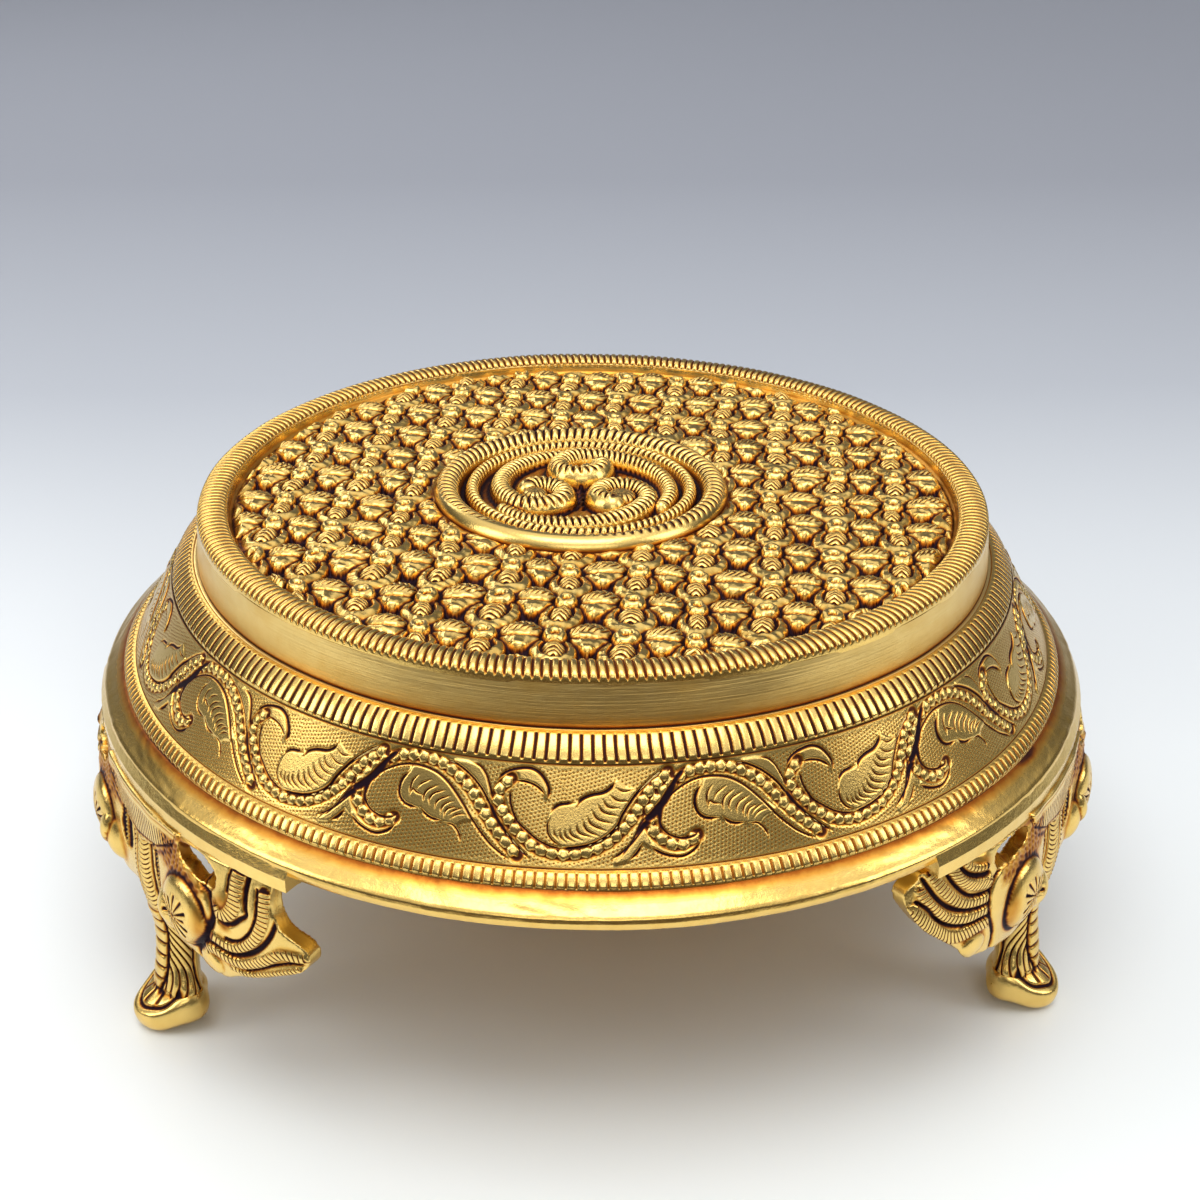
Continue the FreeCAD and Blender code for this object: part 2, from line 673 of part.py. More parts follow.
def wing(outline_shares, hole_shares, side):
    """One wing of a leg: its outline wrapped on a dome that swells out, with its hole."""
    turn = math.radians(side * size("dome_azimuth"))
    middle = FreeCAD.Vector(size("dome_offset") * math.cos(turn),
                            size("dome_offset") * math.sin(turn), size("dome_height"))
    shell = Part.makeSphere(size("dome_radius"), middle)
    shell = shell.cut(Part.makeSphere(size("dome_radius - wing_thickness"), middle))
    leaf = fanned(outline_shares, side, False, 0).common(shell)
    leaf = leaf.cut(fanned(hole_shares, side, True, 0))
    return leaf.cut(fanned(hole_shares, side, True, size("hole_turn")))


def cabriole():
    """The leg's trunk: rounds from the sole up to the collar, lofted smoothly."""
    axis, height = size("leg_axis_radius"), size("leg_height")
    depth, width = size("leg_half_depth"), size("leg_half_width")
    rounds = []
    for level, step, deep, wide in CABRIOLE_SHARES:
        centre = FreeCAD.Vector(axis + step * depth, 0, level * height)
        radii = (deep * depth, wide * width)
        across = FreeCAD.Vector(1, 0, 0) if radii[0] > radii[1] else FreeCAD.Vector(0, 1, 0)
        oval = Part.Ellipse(
            centre + across * max(radii),
            centre + FreeCAD.Vector(0, 0, 1).cross(across) * min(radii), centre)
        start = 0 if across.x else -math.pi / 2
        rounds.append(Part.Wire([oval.toShape(start, start + 2 * math.pi)]))
    return Part.makeLoft(rounds, True)


def egg(half_depth, half_width, half_height):
    """An ellipsoid about the origin."""
    stretch = FreeCAD.Matrix()
    stretch.scale(half_depth, half_width, half_height)
    return Part.makeSphere(1).transformGeometry(stretch)


def boss(side):
    """The smooth oval knob beside the spine."""
    oval = egg(size("boss_half_depth"), size("boss_half_width"), size("boss_half_height"))
    turn = math.radians(side * size("boss_azimuth"))
    out = size("boss_radius_out")
    oval.translate(FreeCAD.Vector(out * math.cos(turn), out * math.sin(turn),
                                  size("boss_height")))
    return oval


def toe():
    """The slanting tongue of the foot, cut flat where it stands."""
    tongue = egg(size("toe_half_length"), size("toe_half_width"), size("toe_half_height"))
    tongue.rotate(FreeCAD.Vector(0, 0, 0), FreeCAD.Vector(0, 1, 0), size("toe_slant"))
    tongue.translate(FreeCAD.Vector(size("toe_radius_out"), 0, size("toe_height")))
    reach = 2 * size("toe_half_length")
    above = Part.makeBox(2 * reach, 2 * reach, reach, FreeCAD.Vector(
        size("toe_radius_out") - reach, -reach, 0))
    return tongue.common(above)


def make_leg_shape():
    """One leg casting, pointing along +X."""
    pad_half = size("pad_span") / 2
    pad_foot = size("pad_foot")
    pad = sector(size("pad_inner_radius"), size("pad_outer_radius"), pad_foot,
                 size("pad_thickness"), -pad_half, pad_half)
    band = sector(size("collar_inner_radius"), size("collar_outer_radius"), 0,
                  size("leg_height"), -pad_half, pad_half)
    collar = fanned(COLLAR_SHARES, 1, False, 0).common(band)
    pieces = [collar, cabriole(), toe(), boss(1), boss(-1),
              wing(DROOPING_WING_SHARES, DROOPING_HOLE_SHARES, 1),
              wing(LIFTED_WING_SHARES, LIFTED_HOLE_SHARES, -1)]
    root_foot = pad_foot - size("root_drop")
    root_start, root_stop = size("root_start"), size("root_stop")
    root_half = size("root_width") / 2
    for start, stop in ((-root_stop, -root_start), (-root_half, root_half),
                        (root_start, root_stop)):
        pieces.append(sector(size("root_inner_radius"), size("pad_outer_radius"), root_foot,
                             size("root_drop") + size("cut_overrun"), start, stop))
    whole = pad
    for piece in pieces:
        whole = whole.fuse(piece)
    for side in (-1, 1):
        turn = math.radians(side * size("leg_screw_azimuth"))
        circle = size("leg_screw_circle")
        at = FreeCAD.Vector(circle * math.cos(turn), circle * math.sin(turn),
                            pad_foot - size("cut_overrun"))
        whole = whole.cut(Part.makeCylinder(
            size("hole_radius"), size("pad_thickness") + 2 * size("cut_overrun"), at))
    return whole.removeSplitter()


def make_legs():
    """Three castings from one pattern, at their azimuths."""
    shape = make_leg_shape()
    legs = []
    for name, azimuth in LEG_AZIMUTHS.items():
        leg = doc.addObject("Part::Feature", name)
        leg.Shape = shape
        leg.Placement = FreeCAD.Placement(
            FreeCAD.Vector(0, 0, 0),
            FreeCAD.Rotation(FreeCAD.Vector(0, 0, 1), azimuth - 90))
        legs.append(leg)
    return legs


parts = [make_base_ring(), make_skirt(), make_drum_ring(), make_deck_plate(),
         make_medallion()]
parts += make_stud_fasteners() + make_fasteners() + make_legs()
doc.recompute()

failed = [thing.Name for thing in doc.Objects
          if "Invalid" in thing.State or "Error" in thing.State]
if failed:
    raise SystemExit("objects that failed: " + ", ".join(failed))

# Each node is written once it holds valid solids only
os.makedirs("parts", exist_ok=True)
for part in parts:
    shape = part.Shape.copy()
    shape.translate(FreeCAD.Vector(0, -SIZES["frame_shift"], 0))
    if shape.isNull() or not shape.isValid() or not shape.Solids:
        raise SystemExit(part.Label + " has no valid solid")
    shape.exportStep(os.path.join("parts", part.Label + ".step"))
    print("%-18s solids %d volume %.1f" % (part.Label, len(shape.Solids), shape.Volume))
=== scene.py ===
"""Looks of the round brass stand: chased relief, patina, light and camera.

Shapes are drawn in millimetres about the axis of the turned rings. Azimuth zero
points to the front (-Y) and grows towards +X, and AXIS_Y is where that axis lies.
"""
import math
import bpy
import numpy as np
from mathutils import Matrix, Vector


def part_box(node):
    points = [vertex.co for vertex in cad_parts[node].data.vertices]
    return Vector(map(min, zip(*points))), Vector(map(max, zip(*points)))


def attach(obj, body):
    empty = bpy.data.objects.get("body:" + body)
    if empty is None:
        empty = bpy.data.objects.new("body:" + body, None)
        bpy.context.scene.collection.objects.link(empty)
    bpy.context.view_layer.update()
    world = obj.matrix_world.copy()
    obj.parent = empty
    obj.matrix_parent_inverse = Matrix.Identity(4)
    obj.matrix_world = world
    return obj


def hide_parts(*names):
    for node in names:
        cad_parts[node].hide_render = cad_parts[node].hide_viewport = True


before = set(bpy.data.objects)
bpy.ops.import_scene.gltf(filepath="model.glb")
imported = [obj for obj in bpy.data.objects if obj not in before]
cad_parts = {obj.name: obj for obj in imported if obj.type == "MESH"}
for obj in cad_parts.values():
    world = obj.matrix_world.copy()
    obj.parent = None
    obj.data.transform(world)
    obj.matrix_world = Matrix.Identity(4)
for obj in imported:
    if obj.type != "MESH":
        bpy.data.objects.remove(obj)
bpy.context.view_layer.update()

MM = 0.001
AXIS_Y = -3.1
TURN = 2.0 * math.pi


# Small helpers for fields and lines
def unit(value):
    """The value kept between 0 and 1."""
    return np.clip(value, 0.0, 1.0)


def bell(distance, width):
    """Soft round profile, 1 at distance 0."""
    return np.exp(-(distance / width) ** 2)


def from_whole(value):
    """What lies between a value and the nearest whole number."""
    return value - np.round(value)


def soften(field, reach, wrap=(False, False)):
    """Two passes of a moving mean over reach grid steps each way."""
    for axis in (0, 1):
        steps = int(round(reach[axis]))
        if steps < 1:
            continue
        for _ in range(2):
            margin = [(0, 0), (0, 0)]
            margin[axis] = (steps + 1, steps)
            padded = np.pad(field, margin, mode="wrap" if wrap[axis] else "edge")
            total = np.cumsum(padded, axis=axis)
            upper = np.take(total, range(2 * steps + 1, total.shape[axis]), axis=axis)
            lower = np.take(total, range(0, total.shape[axis] - 2 * steps - 1), axis=axis)
            field = (upper - lower) / (2 * steps + 1)
    return field


def smooth_path(points, steps=6, closed=False):
    """A smooth line through given points."""
    p = np.asarray(points, float)
    if closed:
        p = np.vstack([p[-1], p, p[0], p[1]])
    else:
        p = np.vstack([2 * p[0] - p[1], p, 2 * p[-1] - p[-2]])
    out = []
    for k in range(1, len(p) - 2):
        a, b, c, d = p[k - 1], p[k], p[k + 1], p[k + 2]
        for t in np.arange(steps) / steps:
            out.append(0.5 * (2 * b + (c - a) * t + (2 * a - 5 * b + 4 * c - d) * t ** 2
                              + (3 * b - a - 3 * c + d) * t ** 3))
    if not closed:
        out.append(p[-2])
    return np.array(out)


def along_path(x, y, path, reach):
    """Length along the path and signed side distance of each point; far points get a large distance."""
    side = np.full(x.shape, 1e3)
    along = np.zeros(x.shape)
    low = path.min(axis=0) - reach
    high = path.max(axis=0) + reach
    near = (x > low[0]) & (x < high[0]) & (y > low[1]) & (y < high[1])
    if not near.any():
        return along, side, 1.0
    px, py = x[near], y[near]
    best = np.full(px.shape, 1e9)
    best_side = np.full(px.shape, 1e3)
    best_along = np.zeros(px.shape)
    start = 0.0
    for a, b in zip(path[:-1], path[1:]):
        d = b - a
        length = math.hypot(d[0], d[1])
        if length < 1e-9:
            continue
        t = unit(((px - a[0]) * d[0] + (py - a[1]) * d[1]) / length ** 2)
        ex, ey = px - a[0] - t * d[0], py - a[1] - t * d[1]
        away = ex * ex + ey * ey
        closer = away < best
        best = np.where(closer, away, best)
        sign = np.where(d[0] * ey - d[1] * ex >= 0, 1.0, -1.0)
        best_side = np.where(closer, sign * np.sqrt(away), best_side)
        best_along = np.where(closer, start + t * length, best_along)
        start += length
    side[near] = best_side
    along[near] = best_along
    return along, side, start


def inside(x, y, path):
    """True inside a closed outline."""
    hit = np.zeros(x.shape, bool)
    for a, b in zip(path, np.roll(path, -1, axis=0)):
        if a[1] == b[1]:
            continue
        crosses = (a[1] > y) != (b[1] > y)
        hit ^= crosses & (x < (b[0] - a[0]) * (y - a[1]) / (b[1] - a[1]) + a[0])
    return hit


def ripple(shape, waves, seed):
    """Slow seeded unevenness of a hand-made surface, about -1 to 1."""
    rng = np.random.default_rng(seed)
    rows = np.linspace(0, 1, shape[0])[:, None]
    columns = np.linspace(0, 1, shape[1], endpoint=False)[None, :]
    total = np.zeros(shape)
    for _ in range(waves):
        turns = rng.integers(2, 24)
        total += (rng.normal() * np.sin(TURN * (turns * columns + rng.random()))
                  * np.cos(math.pi * rng.integers(0, 3) * rows + rng.random()))
    return total / math.sqrt(waves)


def dome(distance, radius):
    """Round bump profile, 1 in the middle and 0 from the radius on."""
    return np.sqrt(unit(1.0 - (distance / radius) ** 2))


def blend_max(a, b, softness):
    """Greater of two fields with a rounded crease between them."""
    h = unit(0.5 + 0.5 * (a - b) / softness)
    return b + (a - b) * h + softness * h * (1 - h)


# Pieces from grids of points
def add_piece(name, points, faces, patina_and_shade, material, node, strokes=None):
    """Mesh piece in metres, with its patina and painted shade and its struck lines as attributes, riding on
    the stand.
    """
    mesh = bpy.data.meshes.new(name)
    points = np.asarray(points, float).reshape(-1, 3).copy()
    points[:, 1] += AXIS_Y
    faces = np.asarray(faces, np.int32)
    mesh.vertices.add(len(points))
    mesh.vertices.foreach_set("co", (points * MM).astype(np.float32).ravel())
    mesh.loops.add(faces.size)
    mesh.loops.foreach_set("vertex_index", faces.ravel())
    mesh.polygons.add(len(faces))
    mesh.polygons.foreach_set("loop_start", np.arange(0, faces.size, faces.shape[1], dtype=np.int32))
    mesh.polygons.foreach_set("use_smooth", np.ones(len(faces), bool))
    mesh.update(calc_edges=True)
    patina = mesh.attributes.new("patina_and_shade", "FLOAT", "POINT")
    patina.data.foreach_set("value", unit(patina_and_shade).astype(np.float32).ravel())
    for label, values in zip(("stroke_phase", "stroke_weight"), strokes or ()):
        stroke = mesh.attributes.new(label, "FLOAT", "POINT")
        stroke.data.foreach_set("value", np.asarray(values, np.float32).ravel())
    mesh.materials.append(material)
    piece = bpy.data.objects.new(name, mesh)
    bpy.context.scene.collection.objects.link(piece)
    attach(piece, "root")
    if node:
        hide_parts(node)


def grid_faces(rows, columns, wrap):
    """Quads of a grid; rows run up and inwards, columns along growing azimuth."""
    index = np.arange(rows * columns).reshape(rows, columns)
    after = np.roll(index, -1, axis=1)
    if not wrap:
        index, after = index[:, :-1], after[:, :-1]
    return np.stack([index[:-1], after[:-1], after[1:], index[1:]], axis=-1).reshape(-1, 4)


def compact(points, faces, patina_and_shade):
    """Only the points that the kept faces use."""
    used = np.unique(faces)
    place = np.zeros(len(points), np.int32)
    place[used] = np.arange(len(used))
    return points[used], place[faces], patina_and_shade[used]


def profile_rows(profile, rows):
    """Evenly spaced radius and height along a section, with its outward normal."""
    p = np.asarray(profile, float)
    length = np.concatenate([[0], np.cumsum(np.hypot(*np.diff(p, axis=0).T))])
    at = np.linspace(0, length[-1], rows)
    radius = np.interp(at, length, p[:, 0])
    height = np.interp(at, length, p[:, 1])
    dr, dz = np.gradient(radius), np.gradient(height)
    size = np.hypot(dr, dz) + 1e-12
    return radius, height, dz / size, -dr / size, at


def turned_band(name, profile, rows, columns, relief, patina_and_shade, material, node, slot, strokes=None):
    """Ring with a relief over a section; the fields get distance along the section and azimuth."""
    radius, height, out, up, at = (row[:, None] for row in profile_rows(profile, rows))
    azimuth = TURN * np.arange(columns)[None, :] / columns
    flat = np.zeros((rows, columns))
    lift = relief(at, azimuth) + flat
    stain = patina_and_shade(at, azimuth, lift) + flat
    struck = [field + flat for field in strokes(at, azimuth)] if strokes else None
    r = radius + out * lift
    points = np.stack([-r * np.sin(azimuth), r * np.cos(azimuth), height + up * lift], axis=-1)
    add_piece(name, points, grid_faces(rows, columns, True), stain, material, node, struck)


# Materials
GOLD_STOPS = (
    (0.00, (0.88, 0.60, 0.17)),
    (0.20, (0.78, 0.47, 0.095)),
    (0.38, (0.62, 0.28, 0.035)),
    (0.56, (0.34, 0.10, 0.012)),
    (0.74, (0.09, 0.025, 0.012)),
    (1.00, (0.024, 0.012, 0.018)),
)
PALE_GOLD = (0.80, 0.70, 0.42)
CLOUD_SCALE = 380.0
DIRT_ROUGHNESS = 0.62
BRUSH_STRETCH = (0.05, 0.05, 3.2)
STROKE_WIDTH = 0.24
STROKE_DEPTH = 0.00022


def feed(tree, node, inputs):
    """Set each named input to a value, or link it to the socket that is given."""
    for name, value in inputs.items():
        socket = node.inputs[name]
        if isinstance(value, bpy.types.NodeSocket):
            tree.links.new(value, socket)
        else:
            socket.default_value = value


def add_node(tree, kind, inputs, **settings):
    """Shader node with its settings and inputs."""
    node = tree.nodes.new("ShaderNode" + kind)
    for name, value in settings.items():
        setattr(node, name, value)
    feed(tree, node, inputs)
    return node


def add_ramp(tree, factor, stops):
    """Colour ramp over the factor, from (position, colour) stops."""
    ramp = add_node(tree, "ValToRGB", {"Fac": factor})
    elements = ramp.color_ramp.elements
    while len(elements) < len(stops):
        elements.new(0.5)
    for element, (at, colour) in zip(elements, stops):
        element.position = at
        element.color = (*colour, 1)
    return ramp.outputs["Color"]


def attribute(tree, name):
    """Value of a point attribute."""
    return add_node(tree, "Attribute", {}, attribute_name=name).outputs["Fac"]


def struck_lines(tree):
    """Chisel strokes at each whole number of the phase attribute: their mask and their dented normal."""
    near = add_node(tree, "Math", {0: attribute(tree, "stroke_phase"), 1: 0.5}, operation="PINGPONG")
    edge = add_node(tree, "MapRange", {"Value": near.outputs[0], "From Min": 0.0, "From Max": STROKE_WIDTH,
                                       "To Min": 1.0, "To Max": 0.0}, interpolation_type="SMOOTHSTEP")
    mask = add_node(tree, "Math", {0: edge.outputs["Result"], 1: attribute(tree, "stroke_weight")},
                    operation="MULTIPLY").outputs[0]
    dent = add_node(tree, "Bump", {"Strength": 1.0, "Distance": STROKE_DEPTH, "Height": mask}, invert=True)
    return mask, dent.outputs["Normal"]


def brass(name, roughness, grain_scale, grain_depth, tarnish, brushed=False, struck=0.0, pale=0.08):
    """Cast brass: polished heights, orange flanks and dark recesses by the patina_and_shade attribute, which
    on some pieces also holds painted shade.
    """
    material = bpy.data.materials.new(name)
    material.use_nodes = True
    tree = material.node_tree
    where = add_node(tree, "TexCoord", {}).outputs["Object"]
    dirt_and_shade = attribute(tree, "patina_and_shade")
    cloud = add_node(tree, "TexNoise", {"Vector": where, "Scale": CLOUD_SCALE, "Detail": 6.0,
                                        "Roughness": 0.62})
    shift = add_node(tree, "Math", {0: cloud.outputs["Fac"], 1: 2.0 * tarnish, 2: -0.72 * tarnish},
                     operation="MULTIPLY_ADD")
    dented = {}
    if struck:
        mask, dented["Normal"] = struck_lines(tree)
        dirt_and_shade = add_node(tree, "Math", {0: mask, 1: struck, 2: dirt_and_shade}, operation="MULTIPLY_ADD").outputs[0]
    total = add_node(tree, "Math", {0: dirt_and_shade, 1: shift.outputs[0]}, operation="ADD", use_clamp=True).outputs[0]
    stops = []
    for at, colour in GOLD_STOPS:
        mix = pale * max(0.0, 1 - 2 * at)
        stops.append((at, [(1 - mix) * c + mix * w for c, w in zip(colour, PALE_GOLD)]))
    rough = add_node(tree, "MapRange", {"Value": total, "To Min": roughness, "To Max": DIRT_ROUGHNESS})
    if brushed:
        where = add_node(tree, "Mapping", {"Vector": where, "Scale": BRUSH_STRETCH}).outputs["Vector"]
    grain = add_node(tree, "TexNoise", {"Vector": where, "Scale": grain_scale, "Detail": 5.0,
                                        "Roughness": 0.6})
    bump = add_node(tree, "Bump", {"Strength": 1.0, "Distance": grain_depth, "Height": grain.outputs["Fac"],
                                   **dented})
    feed(tree, tree.nodes["Principled BSDF"],
         {"Metallic": 1.0, "Base Color": add_ramp(tree, total, stops), "Roughness": rough.outputs["Result"],
          "Normal": bump.outputs["Normal"]})
    return material


CHASED = brass("chased_brass_finish", 0.22, 2600.0, 0.00003, tarnish=0.12)
FIELD = brass("field_brass_finish", 0.16, 1800.0, 0.00004, tarnish=0.16, struck=0.62)
ROPE = brass("rope_brass_finish", 0.19, 2400.0, 0.00003, tarnish=0.10, struck=0.92)
FLANGE = brass("flange_brass_and_painted_shade", 0.19, 700.0, 0.00007, tarnish=0.14)
LEG = brass("leg_brass_and_painted_shade", 0.23, 1500.0, 0.00005, tarnish=0.10, struck=0.90)
SATIN = brass("satin_brass_finish", 0.31, 900.0, 0.00009, tarnish=0.10, brushed=True, pale=0.22)
SCREW = brass("fastener_brass_finish", 0.34, 2400.0, 0.00003, tarnish=0.14)


# Notched bands
DRUM_FOOT = (79.95, 82.75)
DRUM_SHOULDER = (79.28, 91.1)
DRUM_GRID = (90, 1440)
RIM_OUTER, RIM_INNER, RIM_LEVEL = 79.2, 73.5, 91.5
RIM_GRID = (64, 2880)
RIM_NOTCHES = 312
RIM_SLANT = 0.55


def drum_band():
    """Satin upright band under the rim."""
    def relief(at, azimuth):
        return 0.05 * ripple(DRUM_GRID, 9, 11) + 0.02
    def patina_and_shade(at, azimuth, lift):
        foot = unit(1.0 - at / 0.7) * 0.85
        top = unit((at - 8.05) / 0.5) * 0.10
        stain = ripple(DRUM_GRID, 12, 12) * ripple(DRUM_GRID, 9, 13)
        low = 0.16 * unit(1.0 - at / 6.0)
        return foot + top + low + 0.07 * np.clip(stain, 0, 1.5) + 0.03
    turned_band("drum_band", [DRUM_FOOT, (79.9, 83.4), DRUM_SHOULDER], *DRUM_GRID, relief, patina_and_shade,
                SATIN, None, "satin_brass")


def rim_rope():
    """Notched rope rim, its inner bevel and the groove round the field."""
    middle, half = 0.5 * (RIM_OUTER + RIM_INNER), 0.5 * (RIM_OUTER - RIM_INNER)
    crest = [(middle + half * math.cos(a),
              RIM_LEVEL + 0.5 * (1 - math.cos(a)) * 0.3 + 1.75 * math.sin(a) ** 0.8)
             for a in np.radians(np.linspace(0, 180, 19))]
    profile = [(79.22, 90.6)] + crest + [(73.35, 91.2), (73.1, 90.4), (72.4, 89.6), (71.6, 89.5)]
    def cut_phase(at, azimuth):
        return azimuth * RIM_NOTCHES / TURN + RIM_SLANT * ((at - 4.5) / 9.0)
    def relief(at, azimuth):
        body = unit((at - 0.9) / 0.9) * unit((8.6 - at) / 1.0)
        uneven = 0.06 * ripple(RIM_GRID, 10, 21)
        return 0.10 + uneven - 0.34 * bell(from_whole(cut_phase(at, azimuth)), 0.20) * body
    def strokes(at, azimuth):
        return cut_phase(at, azimuth), 0.64 * (unit((at - 0.9) / 0.6) * unit((8.4 - at) / 0.6))
    def patina_and_shade(at, azimuth, lift):
        cut = unit(-lift / 0.45) * 0.30 + 0.04
        groove = unit((at - 8.6) / 1.0) * 0.34 + unit((at - 10.6) / 0.5) * 0.30
        return np.maximum(cut, groove)
    turned_band("rim_rope", profile, *RIM_GRID, relief, patina_and_shade, ROPE, None, "satin_brass", strokes)


# each milled bead: name, foot, top, bulge, cuts round the ring, rows, columns, seed and weight of the cuts
BEADS = (
    ("upper_bead", (85.15, 78.9), (80.75, 82.95), 0.55, 270, 44, 3240, 51, 1.0),
    ("lower_bead", (96.15, 61.1), (93.65, 63.75), 0.45, 340, 36, 3060, 52, 0.6),
)
BEAD_LIP = 0.75
FLANGE_GRID = (60, 1440)


def bulged(foot, top, bulge, lip):
    """Section of a milled bead: a flat arc between foot and top with tucked edges."""
    foot, top = np.array(foot), np.array(top)
    run = top - foot
    out = np.array([run[1], -run[0]]) / np.hypot(*run)
    points = [foot - lip * out]
    for t in np.linspace(0, 1, 13):
        points.append(foot + t * run + out * bulge * math.sin(math.pi * t) ** 0.6)
    points.append(top - lip * out)
    return [tuple(p) for p in points]


def milled_bead(name, foot, top, bulge, count, rows, columns, seed, cut_weight):
    """Bead with upright cuts between a smooth lip above and below."""
    profile = bulged(foot, top, bulge, BEAD_LIP)
    length = profile_rows(profile, rows)[4][-1]
    uneven = ripple((rows, columns), 10, seed)
    def cut_phase(at, azimuth):
        return (azimuth + 0.0010 * uneven) * count / TURN + 0.10 * (at / length)
    def relief(at, azimuth):
        body = unit((at - 1.15) / 0.35) * unit((length - 1.15 - at) / 0.35)
        return 0.04 * uneven + (0.20 - 0.16 * bell(from_whole(cut_phase(at, azimuth)), 0.16)) * body
    def strokes(at, azimuth):
        low = unit((at - 1.1 - 0.15 * uneven) / 0.25)
        high = unit((length - 1.5 - 0.15 * uneven - at) / 0.25)
        return cut_phase(at, azimuth), cut_weight * low * high
    def patina_and_shade(at, azimuth, lift):
        edge = np.maximum(unit(1.0 - at / 1.2), unit(1.0 - (length - at) / 1.0))
        ledge = 0.14 * unit((at - length + 2.0) / 0.4)
        return np.maximum(np.maximum(0.9 * edge, ledge), unit(-lift / 0.5) * 0.3)
    turned_band(name, profile, rows, columns, relief, patina_and_shade, ROPE, None, "chased_brass", strokes)


def flange_band():
    """Flange of the base ring with its hand-cast wavy edge."""
    profile = [(97.8, 55.85), (99.2, 55.8), (99.75, 56.1), (100.0, 56.7), (100.2, 57.4), (100.1, 58.1),
               (99.7, 58.55), (98.9, 59.1), (97.6, 60.1), (96.4, 60.95), (95.9, 61.15), (95.4, 61.6)]
    def relief(at, azimuth):
        slow = ripple(FLANGE_GRID, 12, 31)
        tool = ripple(FLANGE_GRID, 12, 32) * np.sin(azimuth * 97 + 3 * slow)
        dents = ripple(FLANGE_GRID, 30, 35) * np.sin(azimuth * 61 + 5 * slow + at)
        return np.maximum(0.16 * slow + 0.04 * tool + 0.05 * dents + 0.12, 0.06)
    def patina_and_shade(at, azimuth, lift):
        groove = unit((at - 8.6) / 0.8) * 0.95
        spots = ripple(FLANGE_GRID, 14, 33) * ripple(FLANGE_GRID, 14, 34)
        residue = unit(spots - 0.6) * unit((at - 6.0) / 1.2) * 0.7
        residue = residue + unit((at - 6.6) / 2.2) * 0.48 + 0.06
        # painted shade: the flange's underside darker
        under = unit(1.0 - at / 1.6) * 0.35
        return np.maximum(np.maximum(groove, under), residue)
    turned_band("flange_band", profile, *FLANGE_GRID, relief, patina_and_shade, FLANGE, None, "polished_brass")


# Frieze: one repeat of the vine, drawn on a straightened sheet
SHEET_UNIT = 1.0 / 29.25
SHEET_CREST = 431.0
SHEET_FOOT = 513.0
REPEATS = 11
FRIEZE_FOOT = (93.72, 63.7)
FRIEZE_TOP = (85.22, 79.05)
FRIEZE_MIDDLE_RADIUS = 89.1
REPEAT_LENGTH = TURN * FRIEZE_MIDDLE_RADIUS / REPEATS
FIRST_CREST = math.radians(-22.2)
FRIEZE_COLUMNS, FRIEZE_ROWS = 400, 132
DOT_PITCH = 0.78

MAIN_ROPE = [(335, 362), (290, 393), (240, 405), (190, 392), (145, 357), (112, 312), (100, 262), (122, 208),
             (172, 150), (228, 100), (300, 57), (370, 44), (435, 41), (505, 46), (560, 62), (610, 88),
             (655, 118), (695, 150), (730, 190), (765, 237), (800, 282), (835, 326), (875, 368), (915, 408),
             (962, 455)]
SIDE_ROPE = [(908, 84), (862, 128), (846, 165), (850, 200), (875, 245), (912, 292), (942, 330), (985, 368),
             (1035, 406), (1100, 430), (1170, 440), (1240, 436), (1310, 420), (1360, 396), (1410, 365),
             (1460, 320), (1500, 275), (1535, 225), (1565, 180), (1600, 132), (1648, 90), (1700, 44)]
# each beaded rope: line, bead radius and bead pitch in millimetres
ROPES = ((MAIN_ROPE, 0.99, 1.90), (SIDE_ROPE, 0.95, 1.84))
# incised lines: points, half width and depth in millimetres
INCISED = [
    ([(1165, 412), (1235, 404), (1320, 384), (1388, 348), (1436, 300), (1460, 250), (1492, 200), (1530, 150),
      (1582, 100), (1632, 60), (1682, 30)], 0.24, 0.34),
    ([(1405, 462), (1452, 430), (1500, 388), (1545, 335), (1585, 285)], 0.16, 0.24),
    ([(350, 345), (312, 368), (260, 374), (203, 354), (168, 320), (152, 272), (164, 222), (205, 172),
      (258, 130), (330, 97), (400, 85), (470, 90), (530, 108), (582, 140), (632, 186), (680, 240), (720, 292),
      (760, 342), (800, 384), (842, 424), (925, 480)], 0.17, 0.28),
    ([(560, 34), (620, 48), (680, 80), (722, 112), (762, 152), (790, 190), (810, 222), (830, 258), (852, 292),
      (890, 338), (932, 382), (972, 422), (1022, 470)], 0.20, 0.32),
    ([(694, 28), (742, 42), (778, 80), (800, 130), (815, 172), (822, 206)], 0.15, 0.26),
    ([(835, 104), (872, 60), (930, 36), (998, 28), (1050, 50), (1084, 92), (1100, 132), (1094, 178)],
     0.24, 0.34),
    ([(922, 95), (978, 95), (1030, 110), (1066, 136), (1086, 162)], 0.20, 0.30),
    ([(905, 130), (908, 180), (920, 230), (952, 290), (1000, 332), (1052, 372), (1112, 400), (1172, 414)],
     0.17, 0.28),
    ([(375, 124), (345, 162), (334, 210), (346, 256), (384, 286), (450, 294)], 0.24, 0.34),
    ([(464, 284), (490, 314), (530, 331), (582, 332)], 0.22, 0.32),
    ([(590, 341), (636, 345), (664, 370), (680, 400), (686, 430)], 0.15, 0.26),
    ([(1112, 242), (1130, 214), (1162, 196), (1230, 187)], 0.22, 0.32),
    ([(1240, 206), (1262, 170), (1310, 148), (1370, 136), (1410, 110), (1430, 76)], 0.26, 0.36),
    ([(1112, 268), (1100, 300), (1106, 342), (1132, 376), (1172, 398)], 0.14, 0.24),
    ([(104, 404), (150, 436), (202, 455), (258, 460), (310, 436), (350, 396)], 0.24, 0.34),
    ([(-2, 468), (40, 430), (66, 384)], 0.24, 0.34),
    ([(-40, 452), (6, 392), (36, 340), (62, 288), (98, 252)], 0.14, 0.24),
    ([(396, 240), (408, 206), (430, 218), (470, 228)], 0.14, 0.22),
]
RIB_HALF, RIB_DEPTH = 0.13, 0.24
